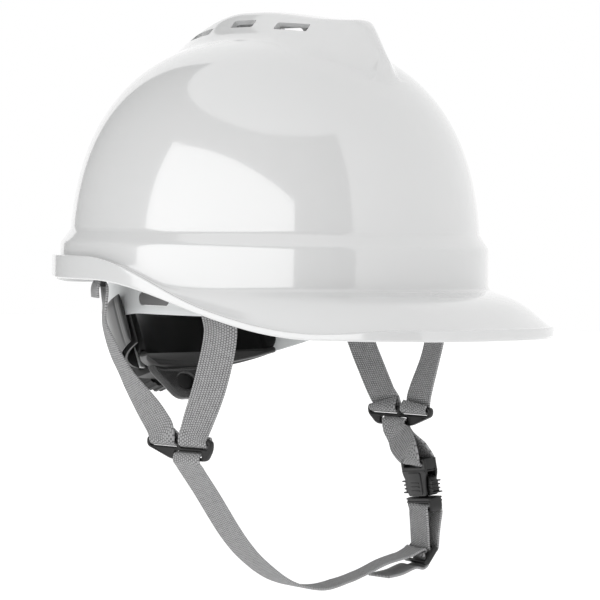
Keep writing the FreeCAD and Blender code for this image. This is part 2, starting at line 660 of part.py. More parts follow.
def plate_with_slots(label, width, height, thick, slots, placement):
    """Flat fitting: a padded rectangle with rectangular slots; slots are (x, z, width, height)."""
    body = doc.addObject("PartDesign::Body", label + "Body")
    plane = [f for f in body.Origin.OriginFeatures if f.Role == "XZ_Plane"][0]

    def rectangle(name, size_x, size_z, x, z):
        sketch = body.newObject("Sketcher::SketchObject", name)
        sketch.AttachmentSupport = [(plane, "")]
        sketch.MapMode = "FlatFace"
        corners = [Vec(x - 1, z - 1, 0), Vec(x + 1, z - 1, 0), Vec(x + 1, z + 1, 0), Vec(x - 1, z + 1, 0)]
        for index in range(4):
            sketch.addGeometry(Part.LineSegment(corners[index], corners[(index + 1) % 4]), False)
        for index in range(4):
            sketch.addConstraint(Sketcher.Constraint("Coincident", index, 2, (index + 1) % 4, 1))
        sketch.addConstraint(Sketcher.Constraint("Horizontal", 0))
        sketch.addConstraint(Sketcher.Constraint("Horizontal", 2))
        sketch.addConstraint(Sketcher.Constraint("Vertical", 1))
        sketch.addConstraint(Sketcher.Constraint("Vertical", 3))
        wide = sketch.addConstraint(Sketcher.Constraint("DistanceX", 0, 1, 0, 2, 2.0))
        tall = sketch.addConstraint(Sketcher.Constraint("DistanceY", 1, 1, 1, 2, 2.0))
        left = sketch.addConstraint(Sketcher.Constraint("DistanceX", -1, 1, 0, 2, x + 1.0))
        top = sketch.addConstraint(Sketcher.Constraint("DistanceY", -1, 1, 2, 2, z + 1.0))
        sketch.setExpression("Constraints[%d]" % wide, size_x)
        sketch.setExpression("Constraints[%d]" % tall, size_z)
        sketch.setExpression("Constraints[%d]" % left, "(%s) / 2 + (%s)" % (size_x, x))
        sketch.setExpression("Constraints[%d]" % top, "(%s) / 2 + (%s)" % (size_z, z))
        return sketch

    pad = body.newObject("PartDesign::Pad", label + "Pad")
    pad.Profile = rectangle(label + "Outline", width, height, 0.0, 0.0)
    pad.setExpression("Length", thick)
    pad.Midplane = True
    doc.recompute()
    for index, (x, z, size_x, size_z) in enumerate(slots):
        pocket = body.newObject("PartDesign::Pocket", "%sSlot%d" % (label, index))
        pocket.Profile = rectangle("%sSlotOutline%d" % (label, index), size_x, size_z, x, z)
        pocket.Length = 40.0
        pocket.Midplane = True
        doc.recompute()
    body.Placement = placement
    return keep(body, label)


for side_name, sign in (("right", -1.0), ("left", 1.0)):
    place = FreeCAD.Placement(Vec(SLIDER_X, sign * SLIDER_Y, SLIDER_HEIGHTS[side_name]), FreeCAD.Rotation())
    plate_with_slots("slider_" + side_name, "Dims.slider_width", "Dims.slider_height", "Dims.slider_thick",
                     [(-10.9, 2.3, "Dims.slot_width", "Dims.slot_height"),
                      (10.9, 2.3, "Dims.slot_width", "Dims.slot_height"),
                      (LOWER_SLOTS[side_name], -2.3, "Dims.slot_width", "Dims.slot_height")], place)


def buckle_upper_shape():
    """Receiving half: two plates joined by a head block, with a webbing bar on top."""
    half = dim("buckle_width") / 2.0
    depth = dim("buckle_thick") / 2.0
    tall = dim("buckle_height")
    top = tall + dim("buckle_bar")
    block = Part.makeBox(2 * half, 2 * depth, top, Vec(-half, -depth, 0))
    upright = [e for e in block.Edges if abs(e.BoundBox.ZLength - top) < 0.1]
    block = block.makeFillet(1.6, upright)
    cavity = Part.makeBox(2 * half + 2, 5.0, tall - 1.5, Vec(-half - 1, -2.5, -1.0))
    slot = Part.makeBox(dim("slot_width"), 12.0, dim("slot_height"),
                        Vec(-dim("slot_width") / 2.0, -6.0, tall + 0.8))
    return block.cut(cavity).cut(slot)


def buckle_lower_shape():
    """Plug half: a flange with a webbing bar and a guide tongue."""
    half = dim("buckle_width") / 2.0
    depth = dim("buckle_thick") / 2.0
    gap = 0.5
    tall = dim("flange_height") - gap
    base = Part.makeBox(2 * half, 2 * depth, tall, Vec(-half, -depth, -dim("flange_height")))
    upright = [e for e in base.Edges if abs(e.BoundBox.ZLength - tall) < 0.1]
    base = base.makeFillet(1.6, upright)
    tongue = Part.makeBox(4.0, 4.4, 13.5, Vec(-2.0, -2.2, -1.0))
    slot = Part.makeBox(dim("slot_width"), 12.0, dim("slot_height"),
                        Vec(-dim("slot_width") / 2.0, -6.0, 2.0 - dim("flange_height")))
    return base.fuse(tongue).cut(slot)


def lever_shape(side):
    """Squeeze arm: rises from the flange and bows out past the side of the receiving half."""
    thick = 4.4
    outline = [(5.4, 0.1), (9.4, 0.1), (13.6, 1.2), (15.0, 3.0), (15.0, 7.6), (13.4, 9.6), (10.6, 11.4),
               (7.6, 12.2), (6.2, 9.0)]
    points = [Vec(side * x, -thick / 2.0, z) for x, z in outline]
    return Part.Face(Part.makePolygon(points + [points[0]])).extrude(Vec(0, thick, 0))


feature("buckle_upper", buckle_upper_shape(), BUCKLE)
feature("buckle_lower", buckle_lower_shape(), BUCKLE)
feature("buckle_lever_front", lever_shape(1.0), BUCKLE)
feature("buckle_lever_rear", lever_shape(-1.0), BUCKLE)

plate_with_slots("adjuster", "Dims.adjuster_width", "Dims.adjuster_height", "Dims.adjuster_thick",
                 [(0.0, 2.9, "Dims.slot_width", "Dims.slot_height"),
                  (0.0, -2.9, "Dims.slot_width", "Dims.slot_height")], ADJUSTER)


def level_strip(top, bottom, turns):
    """Doubled webbing between two points, cut off level at both ends; turns are its headings."""
    sections = []
    for point, turn in zip((top, bottom), turns):
        a = across_at(turn) * (dim("webbing_width") / 2.0)
        b = across_at(turn + 90.0) * dim("webbing_thick")
        corners = [point - a - b, point + a - b, point + a + b, point - a + b]
        sections.append(Part.makePolygon(corners + [corners[0]]))
    return Part.makeLoft(sections, True, True)


# webbing from the left slider to the buckle's top bar, and from its lower bar to the adjuster
slider_foot = Vec(SLIDER_X + LOWER_SLOTS["left"], SLIDER_Y, SLIDER_HEIGHTS["left"] - 0.6)
slider_foot -= Vec(0, 0, dim("slider_height") / 2.0)
bar_top = BUCKLE.multVec(Vec(0, 0, dim("buckle_height") + dim("buckle_bar") + 1.5))
feature("strap_link_upper", level_strip(slider_foot, bar_top, (0.0, BUCKLE_TURN)))
flange_foot = BUCKLE.multVec(Vec(0, 0, -dim("flange_height") - 1.5))
adjuster_top = ADJUSTER.multVec(Vec(0, -dim("adjuster_thick") / 2.0 - 0.6, 3.6)) + Vec(0, 0, 1.8)
feature("strap_link_lower", level_strip(flange_foot, adjuster_top, (BUCKLE_TURN, BUCKLE_TURN)))

CHIN_ROUTE = [(23.0, -86.6, -95.4), (22.0, -74.4, -110.5), (21.6, -50.4, -137.6), (21.6, -36.0, -149.7),
              (23.3, -15.3, -162.0), (25.4, 9.1, -167.3), (27.1, 29.0, -165.0), (28.4, 43.8, -160.0),
              (29.5, 60.0, -154.8), (30.4, 78.4, -152.1)]
chin_path = smooth_path(CHIN_ROUTE, 28)
feature("chin_strap", ribbon(chin_path, [across_at(0.0), across_at(BUCKLE_TURN)],
                             dim("webbing_width"), dim("webbing_thick")))


# ------------------------------------------------------------------ checks and export
doc.recompute()
faults = []
for item in doc.Objects:
    if "Invalid" in item.State or "Error" in item.State:
        faults.append("state of " + item.Label)
for piece in PIECES:
    if piece.Shape.isNull() or not piece.Shape.isValid() or not piece.Shape.Solids:
        faults.append("shape of " + piece.Label)
if faults:
    raise RuntimeError("; ".join(faults))
for piece in PIECES:
    piece.Shape.exportStep("parts/%s.step" % piece.Label)
    box = piece.Shape.BoundBox
    print("%-22s solids %d volume %9.1f  x %.1f..%.1f y %.1f..%.1f z %.1f..%.1f" % (
        piece.Label, len(piece.Shape.Solids), piece.Shape.Volume,
        box.XMin, box.XMax, box.YMin, box.YMax, box.ZMin, box.ZMax))
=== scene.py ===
"""Looks of the peaked safety helmet: shell, headband, nape module and webbing harness.

Lengths in this script are millimetres in the CAD frame (+X peak, +Y wearer's left, +Z up) and are
turned to metres when a mesh is made.
"""

import math

import bmesh
import bpy
import numpy as np
from mathutils import Matrix, Vector


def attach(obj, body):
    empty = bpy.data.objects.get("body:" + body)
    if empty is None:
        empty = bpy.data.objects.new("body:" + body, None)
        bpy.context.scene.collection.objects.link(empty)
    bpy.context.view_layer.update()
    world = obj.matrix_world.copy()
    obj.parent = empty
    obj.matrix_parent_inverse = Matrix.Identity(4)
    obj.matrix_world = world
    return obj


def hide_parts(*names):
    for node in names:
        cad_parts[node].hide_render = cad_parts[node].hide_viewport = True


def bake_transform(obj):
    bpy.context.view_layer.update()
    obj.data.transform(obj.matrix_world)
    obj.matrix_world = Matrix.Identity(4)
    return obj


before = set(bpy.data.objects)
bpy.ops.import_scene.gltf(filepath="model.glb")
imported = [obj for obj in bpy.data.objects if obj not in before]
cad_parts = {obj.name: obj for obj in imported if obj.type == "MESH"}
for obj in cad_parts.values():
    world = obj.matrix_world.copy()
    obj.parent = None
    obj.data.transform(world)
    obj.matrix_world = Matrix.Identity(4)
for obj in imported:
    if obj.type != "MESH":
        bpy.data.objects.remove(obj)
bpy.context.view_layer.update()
MM = 0.001
PI = math.pi


# ------------------------------------------------------------------ small maths
def smoothstep(value, low, high):
    ratio = np.clip((np.asarray(value, float) - low) / (high - low), 0.0, 1.0)
    return ratio * ratio * (3.0 - 2.0 * ratio)


def soft_max(a, b, width):
    """Larger of two heights, with a rounded crease of about this width."""
    return 0.5 * (a + b + np.sqrt((a - b) ** 2 + width * width))


def unit(vectors):
    vectors = np.asarray(vectors, float)
    return vectors / np.maximum(np.linalg.norm(vectors, axis=-1, keepdims=True), 1e-9)


def spline_through(points, count):
    """Smooth curve through given points, sampled evenly by length."""
    knots = np.asarray(points, float)
    padded = np.vstack([2 * knots[0] - knots[1], knots, 2 * knots[-1] - knots[-2]])
    samples = []
    for index in range(len(knots) - 1):
        p0, p1, p2, p3 = padded[index:index + 4]
        d01 = max(np.linalg.norm(p1 - p0), 1e-6) ** 0.5
        d12 = max(np.linalg.norm(p2 - p1), 1e-6) ** 0.5
        d23 = max(np.linalg.norm(p3 - p2), 1e-6) ** 0.5
        m1 = (p1 - p0) / d01 - (p2 - p0) / (d01 + d12) + (p2 - p1) / d12
        m2 = (p2 - p1) / d12 - (p3 - p1) / (d12 + d23) + (p3 - p2) / d23
        u = np.linspace(0, 1, 24, endpoint=False)[:, None]
        a = 2 * u ** 3 - 3 * u ** 2 + 1
        b = u ** 3 - 2 * u ** 2 + u
        c = -2 * u ** 3 + 3 * u ** 2
        d = u ** 3 - u ** 2
        samples.append(a * p1 + b * m1 * d12 + c * p2 + d * m2 * d12)
    samples.append(knots[-1:])
    line = np.vstack(samples)
    lengths = np.concatenate([[0], np.cumsum(np.linalg.norm(np.diff(line, axis=0), axis=1))])
    even = np.linspace(0, lengths[-1], count)
    return np.stack([np.interp(even, lengths, line[:, axis]) for axis in range(3)], axis=1)


# ------------------------------------------------------------------ node materials
class Nodes:
    """Short way to write a material's node tree."""

    def __init__(self, name):
        self.material = bpy.data.materials.new(name)
        self.material.use_nodes = True
        self.tree = self.material.node_tree
        self.tree.nodes.clear()
        self.output = self.tree.nodes.new("ShaderNodeOutputMaterial")
        self.shader = self.tree.nodes.new("ShaderNodeBsdfPrincipled")
        self.link(self.shader.outputs["BSDF"], self.output.inputs["Surface"])

    def link(self, source, target):
        self.tree.links.new(source, target)

    def add(self, kind, **settings):
        node = self.tree.nodes.new(kind)
        for key, value in settings.items():
            setattr(node, key, value)
        return node

    def plug(self, target, value):
        if isinstance(value, bpy.types.NodeSocket):
            self.link(value, target)
        else:
            target.default_value = value

    def set(self, **values):
        names = {"base": "Base Color", "rough": "Roughness", "metal": "Metallic", "coat": "Coat Weight",
                 "coat_rough": "Coat Roughness", "coat_ior": "Coat IOR", "sheen": "Sheen Weight",
                 "sheen_rough": "Sheen Roughness", "specular": "Specular IOR Level",
                 "subsurface": "Subsurface Weight", "sub_scale": "Subsurface Scale",
                 "sub_radius": "Subsurface Radius", "normal": "Normal", "emission": "Emission Color",
                 "emission_strength": "Emission Strength"}
        for key, value in values.items():
            self.plug(self.shader.inputs[names[key]], value)
        return self

    def math(self, operation, a, b=0.0, c=0.0):
        node = self.add("ShaderNodeMath", operation=operation)
        self.plug(node.inputs[0], a)
        self.plug(node.inputs[1], b)
        self.plug(node.inputs[2], c)
        return node.outputs[0]

    def coords(self):
        return self.add("ShaderNodeTexCoord").outputs["Object"]

    def noise(self, scale, detail=3.0, rough=0.5):
        node = self.add("ShaderNodeTexNoise")
        node.inputs["Scale"].default_value = scale
        node.inputs["Detail"].default_value = detail
        node.inputs["Roughness"].default_value = rough
        self.link(self.coords(), node.inputs["Vector"])
        return node.outputs["Fac"]

    def ramp(self, value, *stops):
        node = self.add("ShaderNodeValToRGB")
        node.color_ramp.elements[0].position = stops[0][0]
        node.color_ramp.elements[0].color = tuple(stops[0][1]) + (1.0,)
        node.color_ramp.elements[1].position = stops[-1][0]
        node.color_ramp.elements[1].color = tuple(stops[-1][1]) + (1.0,)
        for position, colour in stops[1:-1]:
            node.color_ramp.elements.new(position).color = tuple(colour) + (1.0,)
        self.plug(node.inputs["Fac"], value)
        return node.outputs["Color"]

    def span(self, value, low, high):
        node = self.add("ShaderNodeMapRange")
        self.plug(node.inputs["Value"], value)
        node.inputs["To Min"].default_value = low
        node.inputs["To Max"].default_value = high
        return node.outputs["Result"]

    def bump(self, height, strength, distance):
        node = self.add("ShaderNodeBump")
        node.inputs["Strength"].default_value = strength
        node.inputs["Distance"].default_value = distance
        self.link(height, node.inputs["Height"])
        return node.outputs["Normal"]


def grey(level, tint=(1.0, 1.0, 1.0)):
    return tuple(level * part for part in tint)


def moulded(name, base, rough, coat=0.0, grain=0.00004, grain_scale=900.0, wear=0.06, subsurface=0.0):
    """Moulded plastic: slight mottling, fine surface grain and broad unevenness in the gloss."""
    nodes = Nodes(name)
    broad = nodes.noise(28.0, 4.0)
    fine = nodes.noise(grain_scale, 2.0)
    low = tuple(part * (1.0 - wear) for part in base)
    high = tuple(min(1.0, part * (1.0 + wear)) for part in base)
    nodes.set(base=nodes.ramp(broad, (0.3, low), (0.7, high)),
              rough=nodes.span(nodes.noise(60.0, 5.0), rough * 0.8, min(1.0, rough * 1.25)),
              coat=coat, coat_rough=0.08, normal=nodes.bump(fine, 0.5, grain))
    if subsurface:
        nodes.set(subsurface=subsurface, sub_scale=0.004, sub_radius=(1.0, 1.0, 1.0))
    return nodes.material


def shell_plastic():
    """Glossy white shell: clear-coat-like gloss, barely visible flow marks and orange peel."""
    nodes = Nodes("shell_white")
    flow = nodes.noise(9.0, 3.0, 0.55)
    peel = nodes.noise(140.0, 2.0)
    nodes.set(base=nodes.ramp(flow, (0.25, grey(0.66, (0.99, 1.0, 1.0))), (0.8, grey(0.69))),
              rough=nodes.span(nodes.noise(35.0, 4.0), 0.10, 0.16), coat=1.0, coat_rough=0.04,
              coat_ior=1.65, specular=1.0, normal=nodes.bump(peel, 0.12, 0.00008))
    return nodes.material


def webbing_cloth(name, light, dark, rib=1.25, pick=1.0, gap_shade_strength=1.0):
    """Woven strap: ribs along the strap crossed by picks, from UVs measured in millimetres; the colour is
    painted darker in the gaps between the yarns as painted shade, with random patchy tone on top.
    """
    nodes = Nodes(name)
    uv = nodes.add("ShaderNodeTexCoord").outputs["UV"]
    split = nodes.add("ShaderNodeSeparateXYZ")
    nodes.link(uv, split.inputs["Vector"])
    along = split.outputs["X"]
    across = split.outputs["Y"]
    column = nodes.math("FLOOR", nodes.math("DIVIDE", across, rib))
    odd = nodes.math("MODULO", nodes.math("ABSOLUTE", column), 2.0)
    shifted = nodes.math("ADD", nodes.math("DIVIDE", along, pick), nodes.math("MULTIPLY", odd, 0.5))
    across_wave = nodes.math("ABSOLUTE", nodes.math("SINE", nodes.math("MULTIPLY", across, PI / rib)))
    along_wave = nodes.math("ABSOLUTE", nodes.math("SINE", nodes.math("MULTIPLY", shifted, PI)))
    weave = nodes.math("MULTIPLY", nodes.math("POWER", across_wave, 0.7),
                       nodes.math("POWER", along_wave, 0.8))
    fibre = nodes.noise(2600.0, 2.0)
    patchy = nodes.noise(420.0, 3.0)
    height = nodes.math("ADD", weave, nodes.math("MULTIPLY", fibre, 0.25))
    # painted shade: the colour falls to the dark end where the weave is low, in the gaps between the yarns;
    # the patchy noise adds random tone
    weave_shade_and_mottle = nodes.math("ADD", nodes.math("MULTIPLY", weave, 0.75 * gap_shade_strength),
                      nodes.math("MULTIPLY", patchy, 0.45))
    nodes.set(base=nodes.ramp(weave_shade_and_mottle, (0.1, dark), (0.9, light)), rough=0.82, sheen=0.15, sheen_rough=0.5,
              specular=0.2, normal=nodes.bump(height, 0.9, 0.00035))
    return nodes.material


def pad_vinyl():
    """Coated padding: near black, soft gloss with a fine leather-like grain."""
    nodes = Nodes("pad_black")
    grain = nodes.add("ShaderNodeTexVoronoi", feature="DISTANCE_TO_EDGE")
    grain.inputs["Scale"].default_value = 900.0
    nodes.link(nodes.coords(), grain.inputs["Vector"])
    nodes.set(base=nodes.ramp(nodes.noise(70.0), (0.3, grey(0.003)), (0.7, grey(0.006))),
              rough=nodes.span(nodes.noise(45.0), 0.42, 0.56), specular=0.18,
              normal=nodes.bump(grain.outputs["Distance"], 0.25, 0.0001))
    return nodes.material


def knit_cloth():
    """Perforated sweatband cloth."""
    nodes = Nodes("sweatband_cloth")
    holes = nodes.add("ShaderNodeTexVoronoi")
    holes.inputs["Scale"].default_value = 420.0
    nodes.link(nodes.coords(), holes.inputs["Vector"])
    dots = nodes.span(holes.outputs["Distance"], 0.0, 1.0)
    nodes.set(base=nodes.ramp(dots, (0.08, grey(0.30)), (0.3, grey(0.62))), rough=0.9, sheen=0.3,
              normal=nodes.bump(dots, 0.6, 0.0003))
    return nodes.material


def bright_steel():
    nodes = Nodes("screw_steel")
    nodes.set(base=(0.62, 0.62, 0.63, 1.0), metal=1.0, rough=nodes.span(nodes.noise(300.0), 0.18, 0.34),
              normal=nodes.bump(nodes.noise(1500.0), 0.3, 0.00003))
    return nodes.material


SHELL_WHITE = shell_plastic()
BAND_WHITE = moulded("band_white", grey(0.74, (0.98, 1.0, 1.0)), 0.34, subsurface=0.12, wear=0.03)
KEY_WHITE = moulded("key_white", grey(0.70), 0.38, wear=0.03)
BLACK = moulded("fitting_black", grey(0.006), 0.40, wear=0.25)
BLACK_DULL = moulded("housing_black", grey(0.02), 0.46, wear=0.25)
LOBE_GREY = moulded("lobe_grey", grey(0.02), 0.24, coat=0.2, wear=0.15)
EDGE_GREY = moulded("edge_grey", grey(0.018), 0.35, wear=0.12)
INSERT_GREY = moulded("insert_grey", grey(0.16), 0.5, wear=0.1)
PAD_BLACK = pad_vinyl()
WING_VINYL = moulded("wing_vinyl", grey(0.035), 0.30, coat=0.3, grain=0.00006, wear=0.2)
SWEAT_CLOTH = knit_cloth()
STEEL = bright_steel()
# the second colour of each webbing is the painted shade in the gaps between its yarns
WEB_GREY = webbing_cloth("webbing_grey", grey(0.40, (1.0, 1.0, 1.01)), grey(0.012), 1.45, 1.25, 1.3)
WEB_WHITE = webbing_cloth("webbing_white", grey(0.78), grey(0.45))


# ------------------------------------------------------------------ mesh helpers
def make_mesh(name, points, faces, material, uvs=None):
    mesh = bpy.data.meshes.new(name)
    mesh.from_pydata((np.asarray(points, float) * MM).tolist(), [], faces)
    if uvs is not None:
        layer = mesh.uv_layers.new(name="UVMap")
        for loop in mesh.loops:
            layer.data[loop.index].uv = uvs[loop.vertex_index]
    mesh.materials.append(material)
    obj = bpy.data.objects.new(name, mesh)
    bpy.context.scene.collection.objects.link(obj)
    mesh.polygons.foreach_set("use_smooth", [True] * len(mesh.polygons))
    mesh.update()
    return obj


def tube_faces(rows, columns):
    """Faces of a tube: each row is a closed ring, and the rows are joined in order."""
    faces = []
    for i in range(rows - 1):
        for j in range(columns):
            k, m = i + 1, (j + 1) % columns
            faces.append((i * columns + j, i * columns + m, k * columns + m, k * columns + j))
    return faces


def edit_mesh(obj, operation):
    """Run a bmesh operation on an object's mesh."""
    work = bmesh.new()
    work.from_mesh(obj.data)
    operation(work)
    work.to_mesh(obj.data)
    work.free()
    return obj


def divide_long_edges(obj, longest, cuts):
    """Split edges longer than this many metres, so that the piece can be bent."""
    return edit_mesh(obj, lambda work: bmesh.ops.subdivide_edges(
        work, edges=[e for e in work.edges if e.calc_length() > longest], cuts=cuts))


def capped_tube(name, rows, material, sharp_angle):
    """Closed piece from rings of points, with flat ends."""
    count, around = len(rows), len(rows[0])
    faces = tube_faces(count, around)
    faces.append(tuple(range(around)))
    faces.append(tuple((count - 1) * around + j for j in reversed(range(around))))
    obj = make_mesh(name, np.array(rows).reshape(-1, 3), faces, material)
    edit_mesh(obj, lambda work: bmesh.ops.recalc_face_normals(work, faces=work.faces))
    return smooth_by_angle(obj, sharp_angle)


def ribbon(name, path, width, thick, material, heading, edge=0.45):
    """Flat strap with rounded edges along a sampled path; UVs are in millimetres.

    heading gives the width direction for the whole path.
    """
    path = np.asarray(path, float)
    count = len(path)
    along = unit(np.gradient(path, axis=0))
    side = unit(heading(path, along))
    side = unit(side - along * np.sum(side * along, axis=1, keepdims=True))
    out = np.cross(side, along)
    half_w = width / 2.0
    half_t = thick / 2.0
    columns = 16
    turns = (PI * 0.2, PI * 0.5, PI * 0.8)
    rim = [(v, half_t) for v in np.linspace(-half_w + edge, half_w - edge, columns)]
    rim += [(half_w - edge + edge * math.sin(a), half_t * math.cos(a)) for a in turns]
    rim += [(v, -half_t) for v in np.linspace(half_w - edge, -half_w + edge, columns)]
    rim += [(-half_w + edge - edge * math.sin(a), -half_t * math.cos(a)) for a in turns]
    rim = np.array(rim)
    lengths = np.concatenate([[0], np.cumsum(np.linalg.norm(np.diff(path, axis=0), axis=1))])
    points = (path[:, None, :] + side[:, None, :] * rim[None, :, :1] + out[:, None, :] * rim[None, :, 1:])
    uvs = [(lengths[i], rim[j, 0] + half_w) for i in range(count) for j in range(len(rim))]
    faces = tube_faces(count, len(rim))
    faces.append(tuple(reversed(range(len(rim)))))
    faces.append(tuple((count - 1) * len(rim) + j for j in range(len(rim))))
    return make_mesh(name, points.reshape(-1, 3), faces, material, uvs)


def plate(name, outlines, thick, bevel, material, resolution=3):
    """Flat moulding from closed outlines (first outside, others holes), with rounded edges.

    It lies in the XZ plane, centred on y = 0.
    """
    curve = bpy.data.curves.new(name + "_outline", "CURVE")
    curve.dimensions = "2D"
    curve.fill_mode = "BOTH"
    curve.extrude = max(0.0, thick / 2.0 - bevel) * MM
    curve.bevel_depth = bevel * MM
    curve.bevel_resolution = resolution
    curve.offset = -bevel * MM
    for outline in outlines:
        spline = curve.splines.new("POLY")
        spline.points.add(len(outline) - 1)
        for point, (x, z) in zip(spline.points, outline):
            point.co = (x * MM, z * MM, 0.0, 1.0)
        spline.use_cyclic_u = True
    source = bpy.data.objects.new(name + "_outline", curve)
    bpy.context.scene.collection.objects.link(source)
    bpy.context.view_layer.update()
    mesh = bpy.data.meshes.new_from_object(source.evaluated_get(bpy.context.evaluated_depsgraph_get()))
    bpy.data.objects.remove(source)
    mesh.transform(Matrix.Rotation(PI / 2.0, 4, "X"))
    mesh.materials.clear()
    mesh.materials.append(material)
    mesh.name = name
    obj = bpy.data.objects.new(name, mesh)
    bpy.context.scene.collection.objects.link(obj)
    edit_mesh(obj, lambda work: bmesh.ops.remove_doubles(work, verts=work.verts, dist=0.00001))
    edit_mesh(obj, lambda work: bmesh.ops.recalc_face_normals(work, faces=work.faces))
    return smooth_by_angle(obj, 35.0)


def smooth_by_angle(obj, degrees):
    mesh = obj.data
    mesh.polygons.foreach_set("use_smooth", [True] * len(mesh.polygons))
    mesh.set_sharp_from_angle(angle=math.radians(degrees))
    return obj


def round_rect(width, height, radius, x=0.0, z=0.0, steps=6):
    """Outline of a rectangle with rounded corners."""
    points = []
    corners = ((1, 1, 0.0), (-1, 1, 0.5), (-1, -1, 1.0), (1, -1, 1.5))
    for sx, sz, start in corners:
        cx = x + sx * (width / 2.0 - radius)
        cz = z + sz * (height / 2.0 - radius)
        for step in range(steps + 1):
            angle = PI * (start + 0.5 * step / steps)
            points.append((cx + radius * math.cos(angle), cz + radius * math.sin(angle)))
    return points


def rounded_polygon(corners, radius, steps=4):
    """Closed outline with each corner cut back and rounded."""
    corners = [np.array(c, float) for c in corners]
    points = []
    for index, corner in enumerate(corners):
        before = corners[index - 1] - corner
        after = corners[(index + 1) % len(corners)] - corner
        reach = min(radius, 0.45 * np.linalg.norm(before), 0.45 * np.linalg.norm(after))
        start = corner + before / np.linalg.norm(before) * reach
        end = corner + after / np.linalg.norm(after) * reach
        for step in range(steps + 1):
            u = step / steps
            points.append(tuple((1 - u) ** 2 * start + 2 * u * (1 - u) * corner + u * u * end))
    return points


def apply_modifiers(obj):
    """Bake an object's modifiers into its own mesh."""
    bpy.context.view_layer.update()
    evaluated = obj.evaluated_get(bpy.context.evaluated_depsgraph_get())
    mesh = bpy.data.meshes.new_from_object(evaluated)
    mesh.name = obj.data.name
    obj.modifiers.clear()
    obj.data = mesh
    return obj


def cut_with(obj, cutters):
    """Boolean-subtract cutter objects and remove them."""
    for cutter in cutters:
        modifier = obj.modifiers.new("cut", "BOOLEAN")
        modifier.operation = "DIFFERENCE"
        modifier.solver = "EXACT"
        modifier.object = cutter
    apply_modifiers(obj)
    for cutter in cutters:
        bpy.data.objects.remove(cutter)
    return obj


def transform(obj, matrix):
    obj.data.transform(matrix)
    obj.data.update()
    return obj


def place_mm(x, y, z):
    return Matrix.Translation(Vector((x, y, z)) * MM)


def join(name, objects):
    """Join several objects into one piece."""
    bpy.ops.object.select_all(action="DESELECT")
    for obj in objects:
        obj.select_set(True)
    bpy.context.view_layer.objects.active = objects[0]
    bpy.ops.object.join()
    objects[0].name = name
    objects[0].data.name = name
    return objects[0]


def warp(obj, function):
    """Move every vertex (in millimetres) through a function of an array of points."""
    mesh = obj.data
    flat = np.zeros(len(mesh.vertices) * 3)
    mesh.vertices.foreach_get("co", flat)
    points = function(flat.reshape(-1, 3) / MM) * MM
    mesh.vertices.foreach_set("co", points.ravel())
    mesh.update()
    return obj


def finish_piece(obj, body, replaces=()):
    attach(obj, body)
    if replaces:
        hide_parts(*replaces)
    return obj


# ------------------------------------------------------------------ camera
CAMERA_BEARING = 42.0


def make_camera():
    """Long lens from the front right, slightly above the band."""
    azimuth = math.radians(CAMERA_BEARING)
    lift = math.radians(1.6)
    roll = math.radians(0.95)
    back = Vector((math.sin(azimuth) * math.cos(lift), -math.cos(azimuth) * math.cos(lift), math.sin(lift)))
    level = Vector((math.cos(azimuth), math.sin(azimuth), 0.0))
    above = back.cross(level)
    right = level * math.cos(roll) + above * math.sin(roll)
    up = above * math.cos(roll) - level * math.sin(roll)
    distance = 1.6
    aim = Vector((0.0, 0.0, 0.060)) + right * 0.0131 - up * 0.0730
    camera = bpy.data.objects.new("camera", bpy.data.cameras.new("camera"))
    bpy.context.scene.collection.objects.link(camera)
    camera.data.sensor_width = 36.0
    camera.data.lens = 177.6
    camera.data.clip_end = 20.0
    turn = Matrix((right, up, back)).transposed()
    camera.matrix_world = Matrix.Translation(aim + back * distance) @ turn.to_4x4()
    bpy.context.scene.camera = camera


make_camera()


# ------------------------------------------------------------------ shell
DOME_FRONT, DOME_REAR, DOME_HALF, DOME_HEIGHT, DOME_POWER = 112.0, 113.0, 102.0, 128.2, 2.5
BAND_FRONT, BAND_REAR, BAND_HALF, PLAN_POWER = 116.2, 118.0, 106.5, 2.2
BRIM_FRONT, BRIM_REAR, BRIM_HALF, BRIM_FRONT_POWER, BRIM_REAR_POWER = 160.0, 124.0, 111.0, 2.45, 2.15
LEDGE_TOP, BAND_TOP, WALL, LIP_WALL = 24.0, 16.6, 2.5, 2.2
ROOT_FLOOR, GUTTER_DEPTH, PEAK_BULGE = -5.0, 4.0, 4.5


def plan_radius(angle, front, rear, half, front_power, rear_power):
    forward = np.cos(angle) >= 0
    length = np.where(forward, front, rear)
    power = np.where(forward, front_power, rear_power)
    total = np.abs(np.cos(angle) / length) ** power + np.abs(np.sin(angle) / half) ** power
    return total ** (-1.0 / power)


def dome_plan(angle):
    return plan_radius(angle, DOME_FRONT, DOME_REAR, DOME_HALF, PLAN_POWER, PLAN_POWER)


def band_plan(angle):
    return plan_radius(angle, BAND_FRONT, BAND_REAR, BAND_HALF, PLAN_POWER, PLAN_POWER)


def brim_plan(angle):
    return plan_radius(angle, BRIM_FRONT, BRIM_REAR, BRIM_HALF, BRIM_FRONT_POWER, BRIM_REAR_POWER)


def dome_surface(x, y):
    share = np.minimum(0.999, np.hypot(x, y) / dome_plan(np.arctan2(y, x)))
    return DOME_HEIGHT * (1.0 - share ** DOME_POWER) ** (1.0 / DOME_POWER)


def rim_height(x):
    return -2.5 - 26.5 * smoothstep(x, -30.0, 112.0) - 4.0 * smoothstep(-x, 85.0, 125.0)


def lip_height(x):
    return rim_height(x) + 3.4 + 9.0 * (1.0 - smoothstep(x, -40.0, 50.0)) + 2.6 * smoothstep(x, 112.0, 150.0)


def crest_top(x):
    rise = smoothstep(x, -112.0, -12.0)
    slope = 6.0 * smoothstep(x, -2.0, 62.0)
    nose = 30.0 * smoothstep(x, 59.0, 87.0)
    ends = 2.2 * np.maximum(x - 76.0, 0.0) + 2.2 * np.maximum(-88.0 - x, 0.0)
    return 84.0 + 57.5 * rise ** 0.62 - slope - nose - ends


